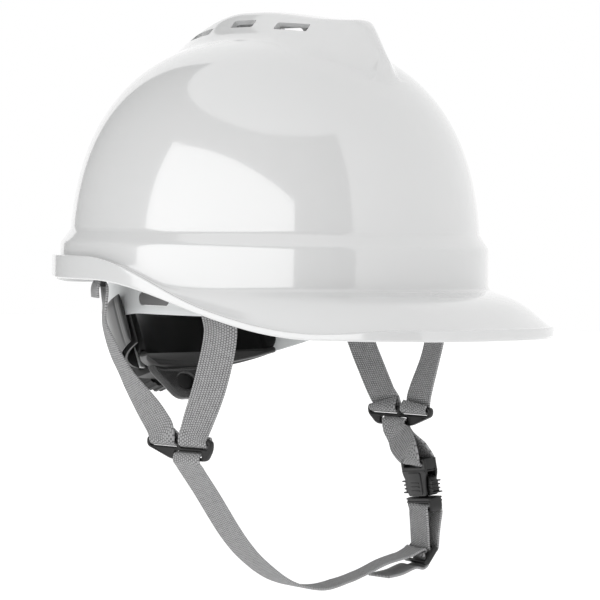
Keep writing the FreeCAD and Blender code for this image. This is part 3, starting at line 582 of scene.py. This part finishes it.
def crest_height(x, y, inset=0.0):
    """Height field of the raised crest: a flat-topped ridge whose sides fall away evenly."""
    top_half = 15.0 * (1.0 - 0.8 * smoothstep(x, 40.0, 72.0))
    foot_half = 27.0 * (1.0 - 0.86 * smoothstep(x, 48.0, 86.0))
    top = crest_top(x) - inset - 0.004 * y * y
    foot = dome_surface(x, foot_half * np.sign(y + 1e-6)) + 2.5 - inset
    slope = np.maximum(0.6, (top - foot) / np.maximum(foot_half - top_half, 1.0))
    beyond = np.abs(y) - top_half + 0.8 * inset
    return top - slope * soft_max(beyond, 0.0 * beyond, 1.6) + slope * 0.8


def dome_point(angle, share, inset=0.0):
    """Point of the dome: share 1 at the top of the ledge, 0 at the apex."""
    top = DOME_HEIGHT - inset
    start = math.asin((LEDGE_TOP / top) ** (DOME_POWER / 2.0))
    turn = PI / 2.0 - (PI / 2.0 - start) * share
    height = top * np.sin(turn) ** (2.0 / DOME_POWER)
    scale = np.maximum(np.cos(turn), 0.0) ** (2.0 / DOME_POWER)
    radius = (dome_plan(angle) - inset) * scale
    x = radius * np.cos(angle)
    y = radius * np.sin(angle)
    near = height > 70.0
    lifted = soft_max(np.where(near, height, 999.0), crest_height(x, y, inset), 1.3)
    return np.stack([x, y, np.where(near, lifted, height)], axis=-1)


def rounded_profile(points, radii, runs):
    """Sample a polyline of (N, 2) corner arrays with rounded corners, in a fixed number of steps."""
    rows = []
    count = len(points)
    for index in range(count):
        corner = points[index]
        if 0 < index < count - 1:
            before = points[index - 1] - corner
            after = points[index + 1] - corner
            lb = np.linalg.norm(before, axis=1, keepdims=True)
            la = np.linalg.norm(after, axis=1, keepdims=True)
            start = corner + before / lb * np.minimum(radii[index], 0.45 * lb)
            end = corner + after / la * np.minimum(radii[index], 0.45 * la)
            for u in (0.0, 0.25, 0.5, 0.75, 1.0):
                rows.append((1 - u) ** 2 * start + 2 * u * (1 - u) * corner + u * u * end)
        else:
            end = corner
            if index == 0:
                rows.append(corner)
        if index < count - 1:
            follow = points[index + 1]
            if index + 1 < count - 1:
                back = corner - follow
                lb = np.linalg.norm(back, axis=1, keepdims=True)
                follow = follow + back / lb * np.minimum(radii[index + 1], 0.45 * lb)
            for step in range(1, runs[index]):
                u = step / runs[index]
                rows.append(end * (1 - u) + follow * u)
    rows.append(points[-1])
    return rows


def build_shell():
    around = 480
    angle = np.linspace(-PI, PI, around, endpoint=False)
    cos, sin = np.cos(angle), np.sin(angle)
    brim = brim_plan(angle)
    band = band_plan(angle)
    x = brim * cos
    lip = lip_height(x)
    rim = rim_height(x)
    gutter = 1.0 - smoothstep(x, -45.0, 5.0)
    root = soft_max(lip, 0.0 * lip + ROOT_FLOOR, 3.0) - GUTTER_DEPTH * gutter
    bulge = PEAK_BULGE * smoothstep(x, 40.0, 120.0)
    foot_out = dome_plan(angle) * (1.0 - (LEDGE_TOP / DOME_HEIGHT) ** DOME_POWER) ** (1.0 / DOME_POWER)
    top_in = DOME_HEIGHT - WALL
    foot_in = (dome_plan(angle) - WALL) * (1.0 - (LEDGE_TOP / top_in) ** DOME_POWER) ** (1.0 / DOME_POWER)

    def corner(radius, height):
        return np.stack([radius + 0.0 * angle, height + 0.0 * angle], axis=1)

    under = lip - 2.6 - GUTTER_DEPTH * gutter
    profile = [corner(foot_out, LEDGE_TOP), corner(band - 0.2, BAND_TOP), corner(band, root),
               corner(0.5 * (band + brim), 0.5 * (root + lip - GUTTER_DEPTH * gutter) + bulge),
               corner(brim - 2.0, lip - GUTTER_DEPTH * gutter), corner(brim - 1.7, lip + 0.05),
               corner(brim - 0.1, lip - 0.05), corner(brim, rim), corner(brim - LIP_WALL, rim + 0.1),
               corner(brim - LIP_WALL - 0.3, np.maximum(under, rim + 0.4)),
               corner(0.5 * (band + brim) - WALL, 0.5 * (root + under) + bulge - 1.2),
               corner(band - WALL, root - WALL),
               corner(band - WALL - 0.2, BAND_TOP - 1.0), corner(foot_in, LEDGE_TOP)]
    radii = [0, 1.6, 2.2, 30.0, 1.2, 0.5, 0.6, 0.8, 0.6, 0.8, 30.0, 3.0, 1.5, 0]
    runs = [4, 8, 6, 6, 3, 2, 5, 2, 2, 6, 6, 8, 4]
    rows = []
    rings_out = 170
    for index in range(1, rings_out):
        rows.append(dome_point(angle, index / rings_out))
    for radius_height in rounded_profile(profile, radii, runs):
        radius, height = radius_height[:, 0], radius_height[:, 1]
        rows.append(np.stack([radius * cos, radius * sin, height], axis=1))
    rings_in = 90
    for index in range(rings_in - 1, 0, -1):
        rows.append(dome_point(angle, index / rings_in, WALL))
    rows = np.array(rows)
    faces = tube_faces(len(rows), around)
    apex_out = len(rows) * around
    apex_in = apex_out + 1
    last = (len(rows) - 1) * around
    for j in range(around):
        k = (j + 1) % around
        faces.append((apex_out, k, j))
        faces.append((apex_in, last + j, last + k))
    tops = [(0.0, 0.0, float(crest_height(np.array(0.0), np.array(0.0), inset))) for inset in (0.0, WALL)]
    shell = make_mesh("shell_moulding", np.vstack([rows.reshape(-1, 3), tops]), faces, SHELL_WHITE)
    if shell.data.polygons[10].normal.z < 0:
        shell.data.flip_normals()
    return shell


def vent_cutters():
    cutters = []
    for x, length in ((-37.0, 17.0), (-6.0, 16.0), (29.0, 22.0)):
        for side in (-1.0, 1.0):
            outline = round_rect(length, 5.6, 1.2)
            slot = plate("vent", [outline], 15.0, 0.01, SHELL_WHITE, 0)
            # the slot's own depth runs along y; lay it along the slope's normal
            transform(slot, Matrix.Rotation(-PI / 2.0, 4, "X"))
            transform(slot, Matrix.Rotation(-side * math.radians(46.0), 4, "X"))
            middle = (crest_top(x) + dome_surface(x, 27.0) + 2.5) / 2.0
            transform(slot, place_mm(x, side * 21.0, float(middle)))
            cutters.append(slot)
    return cutters


def rear_plaque():
    """Raised blank panel at the back of the shell, wrapped to the dome."""
    panel = plate("rear_plaque", [round_rect(44.0, 19.0, 2.5, 0.0, 27.5)], 6.0, 1.6, SHELL_WHITE)
    divide_long_edges(panel, 0.004, 8)

    def wrap(points):
        angle = PI - points[:, 0] / 110.0
        share = (1.0 - (np.clip(points[:, 2], 1, 120) / DOME_HEIGHT) ** DOME_POWER) ** (1.0 / DOME_POWER)
        radius = dome_plan(angle) * share + 0.6 - points[:, 1]
        return np.stack([radius * np.cos(angle), radius * np.sin(angle), points[:, 2]], axis=1)

    return warp(panel, wrap)


shell = build_shell()
cut_with(shell, vent_cutters())
smooth_by_angle(shell, 50.0)
finish_piece(shell, "helmet", ("shell",))
finish_piece(rear_plaque(), "helmet")


# ------------------------------------------------------------------ headband and crown cradle
def oval_band(name, length, width, wall, low, high, start, end, material,
              steps=260, rib_height=0.45, swell=0.0):
    """Ring-shaped strip round the head between two angles, with raised edges and a swelling inner face."""
    rows = []
    section = []
    for v in np.linspace(0, 1, 22):
        lift = math.exp(-((v - 0.06) / 0.05) ** 2) + math.exp(-((v - 0.94) / 0.05) ** 2)
        section.append((wall + rib_height * lift, v))
    for v in np.linspace(1, 0, 22):
        section.append((-swell * (1 - (2 * v - 1) ** 4), v))
    for angle in np.linspace(start, end, steps):
        x = length * math.cos(angle)
        y = width * math.sin(angle)
        nx, ny = unit(np.array([math.cos(angle) / length, math.sin(angle) / width]))
        lo, hi = low(x), high(x)
        rows.append([(x + nx * out, y + ny * out, lo + (hi - lo) * v) for out, v in section])
    return capped_tube(name, rows, material, 40.0)


def headband_low(x):
    return -20.0 - 8.0 * float(smoothstep(-x, 20.0, 90.0))


headband = oval_band("headband_strip", 95.0, 80.0, 1.8, headband_low, lambda x: 12.0,
                     math.radians(-156), math.radians(156), BAND_WHITE)


def on_band(x, side, out):
    """Turn and place for something lying flat on the band's outer face at this x."""
    y = 80.0 * math.sqrt(1.0 - (x / 95.0) ** 2)
    turn = math.atan2(-x * 80.0 / 95.0, y * 95.0 / 80.0)
    return Matrix.Rotation(side * turn, 4, "Z"), x, side * (y + out)


windows = []
for side in (-1.0, 1.0):
    for x, z, width, height in ((-11.0, -12.0, 25.0, 7.4), (32.0, -2.0, 16.0, 5.0)):
        window = plate("window", [round_rect(width, height, height / 2.1)], 24.0, 0.01, BAND_WHITE, 0)
        turn, place_x, place_y = on_band(x, side, 0.0)
        transform(window, turn)
        windows.append(transform(window, place_mm(place_x, place_y, z)))
    insert = plate("headband_insert", [round_rect(24.4, 6.8, 3.2)], 1.6, 0.5, INSERT_GREY)
    turn, place_x, place_y = on_band(-11.0, side, 0.6)
    transform(insert, turn)
    transform(insert, place_mm(place_x, place_y, -12.0))
    insert.name = "headband_insert_" + ("right" if side < 0 else "left")
    finish_piece(insert, "helmet")
cut_with(headband, windows)
smooth_by_angle(headband, 40.0)
finish_piece(headband, "helmet", ("headband",))

sweat = oval_band("brow_pad_cloth", 92.2, 77.2, 2.3, lambda x: -17.0, lambda x: 9.0,
                  math.radians(-60), math.radians(60), SWEAT_CLOTH, 120, 0.0, 1.2)
finish_piece(sweat, "helmet", ("brow_pad",))


def crown_hoop(name, lift, azimuth):
    points = []
    for turn in np.linspace(0.0, PI, 90):
        reach = 92.4 * math.cos(turn)
        height = 17.0 + (79.4 + lift) * math.sin(turn)
        points.append((reach * math.cos(azimuth), reach * math.sin(azimuth), height))
    side = (-math.sin(azimuth), math.cos(azimuth), 0.0)
    return ribbon(name, points, 20.0, 1.2, WEB_WHITE, lambda path, along: side + 0.0 * along)


for letter, lift, bearing in (("a", 0.0, 45.0), ("b", 1.5, -45.0)):
    hoop = crown_hoop("crown_webbing_" + letter, lift, math.radians(bearing))
    finish_piece(hoop, "helmet", ("crown_strap_" + letter,))


# ------------------------------------------------------------------ nape module
TILT = math.radians(22.0)
NAPE = (Matrix.Translation(Vector((-0.080, 0.0, -0.046)))
        @ Matrix.Rotation(-TILT, 4, "Y") @ Matrix.Rotation(PI, 4, "Z"))
RACK_RADIUS = 76.0


def bend_to_nape(obj):
    """Take a piece drawn flat (x along the arc, y the radius from the racks' centre, z up) to its place."""
    def bend(points):
        angle = points[:, 0] / RACK_RADIUS
        radius = points[:, 1]
        return np.stack([-RACK_RADIUS + radius * np.cos(angle), radius * np.sin(angle), points[:, 2]], axis=1)

    warp(obj, bend)
    return transform(obj, NAPE)


def move_out(obj, radius):
    """Shift a flat piece out to a radius from the racks' centre."""
    return warp(obj, lambda p: np.stack([p[:, 0], p[:, 1] + radius, p[:, 2]], axis=1))


def build_nape_pad():
    """Padded wrap with a puffed face and drawn-in seams near each end."""
    half_arc = math.radians(52.0) * RACK_RADIUS
    columns = 150
    around = 56
    rows = []
    for x in np.linspace(-half_arc, half_arc, columns):
        end = max(0.0, (abs(x) - half_arc + 7.0) / 7.0)
        height = 30.0 * math.sqrt(max(0.02, 1.0 - 0.55 * end ** 2.2))
        seam = math.exp(-((abs(x) - half_arc + 9.0) / 1.3) ** 2)
        thick = 5.2 * (1.0 - 0.45 * seam) * math.sqrt(max(0.05, 1.0 - 0.75 * end ** 3))
        ring = []
        for turn in np.linspace(0, 2 * PI, around, endpoint=False):
            c, s = math.cos(turn), math.sin(turn)
            v = np.sign(s) * abs(s) ** 0.42
            w = np.sign(c) * abs(c) ** 0.72
            ripple = 0.22 * math.sin(x * 0.21) * math.sin(v * 2.4 + x * 0.05)
            ring.append((x, 68.6 - w * (thick / 2.0 + (ripple if w > 0 else 0.0)), 6.0 + v * height / 2.0))
        rows.append(ring)
    return bend_to_nape(capped_tube("nape_pad_cover", rows, PAD_BLACK, 60.0))


pad = build_nape_pad()
finish_piece(pad, "helmet", ("nape_pad",))


def nape_wing(name, side):
    """Curved vinyl wing outside the rack, swelling gently, with a piped front edge.

    The left one is shorter, so that it does not show beyond the pad.
    """
    radius, low, high = 81.6, -9.5, 20.0
    columns, around = 70, 40
    begin = math.radians(24.0) * RACK_RADIUS
    finish = math.radians(71.0 if side > 0 else 50.0) * RACK_RADIUS
    rows = []
    for x in np.linspace(begin, finish, columns):
        front = (x - begin) / (finish - begin)
        piping = math.exp(-((finish - 1.4 - x) / 1.1) ** 2)
        groove = math.exp(-((finish - 6.2 - x) / 0.8) ** 2)
        half = (high - low) / 2.0 * (1.0 - 0.10 * front ** 3)
        thick = 1.3 + 0.9 * math.sin(PI * min(1.0, front * 1.08)) + 0.5 * piping - 0.8 * groove
        ring = []
        for turn in np.linspace(0, 2 * PI, around, endpoint=False):
            v = np.sign(math.sin(turn)) * abs(math.sin(turn)) ** 0.35
            w = np.sign(math.cos(turn)) * abs(math.cos(turn)) ** 0.8
            bulge = 0.8 * (1.0 - v * v)
            ring.append((side * x, radius + w * (thick / 2.0 + 0.4 * bulge), (low + high) / 2.0 + v * half))
        rows.append(ring)
    finish_piece(bend_to_nape(capped_tube(name, rows, WING_VINYL, 60.0)), "helmet")


nape_wing("nape_wing_right", 1.0)
nape_wing("nape_wing_left", -1.0)


def nape_lobe():
    outline = rounded_polygon([(-35, -9.6), (35, -9.6), (31, -14), (20, -20), (11, -27.0), (6, -28.6),
                               (-6, -28.6), (-11, -27.0), (-20, -20), (-31, -14)], 3.0, 6)

    def oval(half_width, half_height):
        return [(half_width * math.cos(a), -18.5 + half_height * math.sin(a))
                for a in np.linspace(0, 2 * PI, 40, endpoint=False)]

    lobe = plate("nape_lobe_moulding", [outline, oval(7.5, 4.2)], 4.4, 1.4, LOBE_GREY, 4)
    floor = plate("nape_lobe_recess", [oval(8.2, 4.9)], 1.4, 0.3, BLACK)
    pieces = []
    for piece, radius in ((lobe, 69.2), (floor, 70.4)):
        divide_long_edges(piece, 0.006, 5)
        pieces.append(bend_to_nape(move_out(piece, radius)))
    return pieces


lobe, lobe_floor = nape_lobe()
finish_piece(lobe, "helmet", ("nape_lobe",))
finish_piece(lobe_floor, "helmet")

flange = plate("nape_pad_flange", [round_rect(134.0, 3.0, 1.3, 0.0, -9.6)], 4.2, 1.0, EDGE_GREY)
divide_long_edges(flange, 0.01, 30)
finish_piece(bend_to_nape(move_out(flange, 68.2)), "helmet")

for node, material in (("rack_left", BAND_WHITE), ("rack_right", BLACK_DULL), ("ratchet_housing", BLACK_DULL),
                       ("ratchet_pinion", BLACK), ("ratchet_spring", KEY_WHITE), ("ratchet_knob", BLACK),
                       ("ratchet_screw", STEEL), ("crown_pad", BAND_WHITE), ("key_front_left", KEY_WHITE),
                       ("key_rear_left", KEY_WHITE), ("key_rear_right", KEY_WHITE),
                       ("key_front_right", KEY_WHITE),
                       ("anchor_front_right", BLACK), ("anchor_rear_right", BLACK),
                       ("anchor_front_left", BLACK), ("anchor_rear_left", BLACK)):
    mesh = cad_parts[node].data
    mesh.materials.clear()
    mesh.materials.append(material)


# ------------------------------------------------------------------ harness
ANCHORS = {"front": (46.0, 94.6), "rear": (-39.0, 93.2)}
ANCHOR_LEANS = {"front": -18.0, "rear": 34.0}
LOWER_SLOTS = {"right": 7.0, "left": -4.0}
# how far each strap bows forward (+) between its anchor and the slider
BOWS = {"right": {"front": 7.0, "rear": -12.0}, "left": {"front": 1.0, "rear": 2.0}}
# headings of each strap below its anchor: (share of length, degrees)
TWISTS = {"right": {"front": ((0.5, 20.0), (0.85, 6.0), (1.0, 0.0)),
                    "rear": ((0.24, -41.0), (0.45, -28.0), (0.80, -5.0), (1.0, 0.0))},
          "left": {"front": ((0.55, -18.0), (0.82, -8.0), (1.0, 0.0)),
                   "rear": ((0.28, 3.0), (0.75, 0.0), (1.0, 0.0))}}
SLIDER_X, SLIDER_Y = 17.0, 88.0
SLIDER_HEIGHTS = {"right": -88.5, "left": -78.0}
WEB_WIDTH, WEB_THICK = 18.4, 1.4
SLOT_WIDTH, SLOT_HEIGHT = 19.6, 2.8
HEADING = -18.0
TURN = Matrix.Rotation(math.radians(HEADING), 4, "Z")
LEAN = Matrix.Rotation(math.radians(10.0), 4, Vector((0.669, -0.743, 0.0)))
BUCKLE = Matrix.Translation(Vector((34.6, 88.4, -121.5)) * MM) @ LEAN @ TURN
ADJUSTER = (Matrix.Translation(Vector((34.4, 86.6, -153.6)) * MM) @ TURN
            @ Matrix.Rotation(math.radians(-35.0), 4, "X"))


def at(matrix, x, y, z):
    """Point of a placed fitting, in millimetres of the frame."""
    return tuple(matrix @ (Vector((x, y, z)) * MM) / MM)


def headings(*stops):
    """Width direction along a strap, turning between (share of length, heading in degrees) stops."""
    shares = [share for share, heading in stops]
    angles = [math.radians(heading) for share, heading in stops]

    def turn(path, side):
        lengths = np.concatenate([[0], np.cumsum(np.linalg.norm(np.diff(path, axis=0), axis=1))])
        angle = np.interp(smooth_share(lengths / lengths[-1], shares), range(len(shares)), angles)
        return np.stack([np.cos(angle), np.sin(angle), 0.0 * angle], axis=1)

    return turn


def smooth_share(values, shares):
    """Position of each value among the stops, eased within each span."""
    index = np.clip(np.searchsorted(shares, values, side="right") - 1, 0, len(shares) - 2)
    low = np.take(shares, index)
    high = np.take(shares, index + 1)
    return index + smoothstep((values - low) / (high - low), 0.0, 1.0)


def harness_strap(side_name, sign, place):
    x, y = ANCHORS[place]
    height = SLIDER_HEIGHTS[side_name]
    lean = sign * ANCHOR_LEANS[place]
    outer = 1.0 if place == "front" else -1.0
    end_x = SLIDER_X + outer * 10.9
    top_y, low_y = sign * y, sign * SLIDER_Y
    bow = BOWS[side_name][place]
    inward = np.array([sign * math.sin(math.radians(lean)), -sign * math.cos(math.radians(lean))])
    fold = [np.append(np.array([x, top_y]) + inward * out, z)
            for out, z in ((-2.2, -12.0), (-2.3, -6.5), (0.0, -2.4), (2.3, -5.5), (2.9, -14.0))]
    points = fold + [
              (x + (end_x - x) * 0.30 + bow, (top_y * 0.72 + low_y * 0.28) - sign * 1.4, height * 0.30),
              (x + (end_x - x) * 0.62 + bow * 0.8, (top_y + low_y) / 2 - sign * 0.9, height * 0.6),
              (end_x + (x - end_x) * 0.09, low_y + sign * 1.5, height + 12.0),
              (end_x, low_y + sign * 2.3, height + 6.0), (end_x, low_y + sign * 2.2, height + 3.2),
              (end_x, low_y, height + 1.9), (end_x, low_y - sign * 2.3, height + 3.2),
              (end_x + (x - end_x) * 0.01, low_y - sign * 2.2, height + 5.4),
              (end_x + (x - end_x) * 0.03, low_y - sign * 0.9, height + 7.6)]
    path = spline_through(points, 170)
    turn = headings((0.0, lean), (0.12, lean), *TWISTS[side_name][place])
    strap = ribbon("webbing_%s_%s" % (place, side_name), path, WEB_WIDTH, WEB_THICK, WEB_GREY, turn)
    return finish_piece(strap, "helmet", ("strap_%s_%s" % (place, side_name),))


for side_name, sign in (("right", -1.0), ("left", 1.0)):
    for place in ("front", "rear"):
        harness_strap(side_name, sign, place)
    shift = LOWER_SLOTS[side_name]
    outline = rounded_polygon([(-23, 0.5), (-23, 5.5), (23, 5.5), (23, 0.5), (shift + 12.5, -5.5),
                               (shift - 12.5, -5.5)], 2.6, 6)
    slots = [round_rect(SLOT_WIDTH, SLOT_HEIGHT, 1.2, x, z)
             for x, z in ((-10.9, 2.3), (10.9, 2.3), (shift, -2.3))]
    slider = plate("slider_%s_moulding" % side_name, [outline] + slots, 3.6, 1.1, BLACK, 4)
    transform(slider, place_mm(SLIDER_X, sign * SLIDER_Y, SLIDER_HEIGHTS[side_name]))
    finish_piece(slider, "helmet", ("slider_" + side_name,))


def buckle_upper():
    """Receiving half: stepped front and back plates, a head block and a raised panel on each face."""
    parts = []
    outline = rounded_polygon([(-9.4, 0), (9.4, 0), (10.4, 9.0), (12.5, 12.5), (12.5, 21.0),
                               (-12.5, 21.0), (-12.5, 12.5), (-10.4, 9.0)], 1.8, 6)
    slot = round_rect(SLOT_WIDTH, SLOT_HEIGHT, 1.2, 0.0, 17.7)
    for side in (-1.0, 1.0):
        face = plate("face", [outline, slot], 1.4, 0.5, BLACK, 3)
        parts.append(transform(face, place_mm(0.0, side * 3.3, 0.0)))
        panel = plate("panel", [round_rect(13.0, 12.4, 1.6, 0.0, 7.2)], 1.2, 0.4, BLACK, 3)
        parts.append(transform(panel, place_mm(0.0, side * 3.9, 0.0)))
        for z in (3.0, 5.2, 7.4):
            ridge = plate("ridge", [round_rect(8.6, 0.9, 0.4, 0.0, z)], 0.9, 0.35, BLACK, 2)
            parts.append(transform(ridge, place_mm(0.0, side * 4.4, 0.0)))
    block = rounded_polygon([(-12.3, 14.2), (12.3, 14.2), (12.3, 20.8), (-12.3, 20.8)], 1.6)
    parts.append(plate("block", [block, slot], 7.6, 0.5, BLACK, 2))
    for z in (14.0, 20.2):
        parts.append(plate("lip", [round_rect(24.0, 1.1, 0.5, 0.0, z)], 8.8, 0.45, BLACK, 2))
    return transform(join("buckle_upper_moulding", parts), BUCKLE)


def buckle_lower():
    """Plug half: flange with a webbing slot, raised rims and a guide tongue."""
    outline = rounded_polygon([(-12.5, -0.6), (12.5, -0.6), (12.5, -6.4), (10.8, -9.2), (-10.8, -9.2),
                               (-12.5, -6.4)], 1.8, 6)
    slot = round_rect(SLOT_WIDTH, SLOT_HEIGHT, 1.2, 0.0, -5.8)
    parts = [plate("flange", [outline, slot], 7.8, 1.2, BLACK, 4),
             plate("tongue", [round_rect(4.0, 13.3, 1.0, 0.0, 5.8)], 4.4, 0.5, BLACK, 2)]
    for z in (-1.4, -3.3):
        parts.append(plate("rib", [round_rect(24.0, 1.0, 0.45, 0.0, z)], 8.8, 0.45, BLACK, 2))
    return transform(join("buckle_lower_moulding", parts), BUCKLE)


def buckle_lever(name, side):
    """Squeeze arm with a flared, ridged thumb pad."""
    outline = [(5.4, 0.1), (9.4, 0.1), (13.4, 1.2), (14.6, 2.6), (14.2, 5.2), (14.4, 7.9), (13.0, 9.8),
               (10.6, 11.4), (7.6, 12.2), (6.2, 9.0)]
    parts = [plate("arm", [rounded_polygon([(side * x, z) for x, z in outline], 1.4, 5)], 4.4, 0.8, BLACK, 3)]
    for index, z in enumerate((1.9, 4.0, 6.1, 8.2)):
        reach = 14.5 + 0.9 * math.cos(2.2 * index)
        parts.append(plate("rib", [round_rect(3.4, 0.8, 0.35, side * (reach - 1.0), z)], 5.6, 0.3, BLACK, 2))
    return transform(join(name, parts), BUCKLE)


finish_piece(buckle_upper(), "helmet", ("buckle_upper",))
finish_piece(buckle_lower(), "buckle_plug", ("buckle_lower",))
for end, side in (("front", 1.0), ("rear", -1.0)):
    lever = buckle_lever("buckle_lever_%s_moulding" % end, side)
    finish_piece(lever, "lever_" + end, ("buckle_lever_" + end,))

adjuster_slots = [round_rect(SLOT_WIDTH, SLOT_HEIGHT, 1.1, 0.0, z) for z in (2.9, -2.9)]
adjuster = plate("adjuster_moulding", [round_rect(25.0, 12.0, 1.8)] + adjuster_slots, 3.4, 1.0, BLACK, 4)
finish_piece(transform(adjuster, ADJUSTER), "buckle_plug", ("adjuster",))


def closed_link(name, points, first, last, body, node):
    """Webbing loop through two slots: its points run down the near side and up the far side."""
    turn = headings((0.0, first), (0.08, first), (0.42, last), (0.60, last), (0.92, first), (1.0, first))
    strap = ribbon(name, spline_through(points, 150), WEB_WIDTH, WEB_THICK, WEB_GREY, turn)
    return finish_piece(strap, body, (node,))


slider_foot = Vector((SLIDER_X + LOWER_SLOTS["left"] + 1.5, SLIDER_Y, SLIDER_HEIGHTS["left"]))
upper_route = [slider_foot + Vector(p) for p in ((0.4, -1.0, -1.2), (0.0, -2.7, -2.6), (0.4, -2.9, -6.5),
                                                 (3.6, -2.9, -11.2))]
upper_route += [at(BUCKLE, 0, y, z) for y, z in ((-5.2, 24.0), (-5.0, 20.4), (-3.9, 18.4), (0, 17.5),
                                                 (3.9, 18.4), (4.9, 21.0), (3.6, 24.4))]
upper_route += [slider_foot + Vector(p) for p in ((4.0, 1.4, -11.5), (0.6, 2.6, -6.5), (0.2, 2.4, -3.0),
                                                  (0.4, 0.4, -1.4))]
closed_link("webbing_link_upper", upper_route, -9.0, HEADING, "helmet", "strap_link_upper")
near_top, near_foot = Vector(at(BUCKLE, 0, -4.9, -9.0)), Vector(at(ADJUSTER, 0, -3.2, 4.6))
back_top, back_foot = Vector(at(BUCKLE, 0, 4.6, -9.0)), Vector(at(ADJUSTER, 0, 3.0, 5.0))
lower_route = [at(BUCKLE, 0, 0, -5.2), at(BUCKLE, 0, -4.0, -5.1), near_top, near_top.lerp(near_foot, 0.35),
               near_top.lerp(near_foot, 0.7), near_foot, at(ADJUSTER, 0, -1.5, 3.2),
               at(ADJUSTER, 0, 1.6, 2.6), back_foot, back_top.lerp(back_foot, 0.6),
               back_top.lerp(back_foot, 0.3), back_top, at(BUCKLE, 0, 4.2, -6.2), at(BUCKLE, 0, 1.4, -5.4)]
closed_link("webbing_link_lower", lower_route, HEADING, HEADING, "buckle_plug", "strap_link_lower")

# the chin strap starts in the right slider's lower slot, hangs under the chin and folds back at the adjuster
CHIN_ROUTE = [(24.0, -84.4, -86.5), (24.0, -85.6, -89.0), (24.0, -87.4, -90.6), (24.0, -90.0, -91.2),
              (24.0, -90.6, -94.0), (23.2, -86.6, -98.2), (22.0, -74.4, -110.5), (21.6, -50.4, -137.6),
              (21.6, -36.0, -149.7), (23.3, -15.3, -162.0), (25.4, 9.1, -167.3), (27.1, 29.0, -165.0),
              (28.4, 43.8, -161.6), (30.0, 60.0, -157.0), (32.4, 75.0, -153.8)]
CHIN_ROUTE += [at(ADJUSTER, 0, -3.0, 0.8), at(ADJUSTER, 0, -1.2, -1.6), at(ADJUSTER, 0, 2.4, -2.4),
               at(ADJUSTER, 0, 3.6, -4.6), at(ADJUSTER, 0, 2.2, -7.6)]
CHIN_ROUTE += [(32.4, 79.0, -160.6), (30.6, 68.0, -163.4), (28.8, 58.0, -164.6)]
chin_turn = headings((0.0, 0.0), (0.12, 0.0), (0.36, 0.0), (0.70, -38.0), (0.86, -24.0), (1.0, HEADING))
chin = ribbon("webbing_chin", spline_through(CHIN_ROUTE, 300), WEB_WIDTH, WEB_THICK, WEB_GREY, chin_turn)
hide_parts("chin_strap")
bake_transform(chin)


# ------------------------------------------------------------------ stage and light
FLOOR_LEVEL = -0.30


def area_light(name, location, target, width, height, power):
    light = bpy.data.lights.new(name, "AREA")
    light.energy = power
    light.shape = "RECTANGLE"
    light.size = width
    light.size_y = height
    obj = bpy.data.objects.new(name, light)
    bpy.context.scene.collection.objects.link(obj)
    obj.location = location
    obj.rotation_euler = (target - location).to_track_quat("-Z", "Y").to_euler()


def make_stage():
    floor_mesh = bpy.data.meshes.new("floor")
    size = 6.0
    corners = [(x, y, FLOOR_LEVEL) for x, y in ((-size, -size), (size, -size), (size, size), (-size, size))]
    floor_mesh.from_pydata(corners, [], [(0, 1, 2, 3)])
    paper = Nodes("paper_white")
    paper.set(base=grey(0.92) + (1.0,), rough=0.9, emission=grey(1.0) + (1.0,), emission_strength=0.3)
    floor_mesh.materials.append(paper.material)
    floor = bpy.data.objects.new("floor", floor_mesh)
    bpy.context.scene.collection.objects.link(floor)
    world = bpy.data.worlds.new("studio")
    bpy.context.scene.world = world
    world.use_nodes = True
    background = world.node_tree.nodes["Background"]
    background.inputs["Color"].default_value = (1.0, 1.0, 1.0, 1.0)
    background.inputs["Strength"].default_value = 1.0


def toward(degrees, distance, height):
    """Place at a bearing from the camera's own direction, counted positive to the camera's right."""
    bearing = math.radians(CAMERA_BEARING + degrees)
    return Vector((math.sin(bearing) * distance, -math.cos(bearing) * distance, height))


def make_cards():
    """Grey room behind the camera: it shades the near side and shows in the shell's gloss."""
    card = Nodes("card_grey")
    card.set(base=grey(0.3) + (1.0,), rough=0.9, emission=grey(1.0) + (1.0,), emission_strength=0.12)
    points = []
    columns = 24
    first_bearing, sweep, radius, top = -150.0, 190.0, 3.0, 3.4
    for height in (FLOOR_LEVEL, top):
        points += [toward(first_bearing + sweep * k / columns, radius, height) / MM
                   for k in range(columns + 1)]
    faces = [(k, k + 1, columns + 2 + k, columns + 1 + k) for k in range(columns)]
    wall = make_mesh("grey_cards", points, faces, card.material)
    wall.visible_camera = False


def softbox():
    """Broad light to the left of the camera; its reflection is the bright pane on the shell."""
    left = toward(-82.0, 1.0, 0.26)
    right = toward(1.0, 1.92, 0.26)
    facing = Vector((-(right - left).y, (right - left).x, 0.0)).normalized()
    if facing.dot(-left) < 0:
        facing = -facing
    middle = (left + right) / 2.0
    power = 1.5 * 1.5 * PI
    area_light("softbox", middle, middle + facing, (right - left).length, 0.72, power)


make_stage()
make_cards()
softbox()
scene = bpy.context.scene
scene.view_settings.view_transform = "Standard"
scene.view_settings.look = "None"
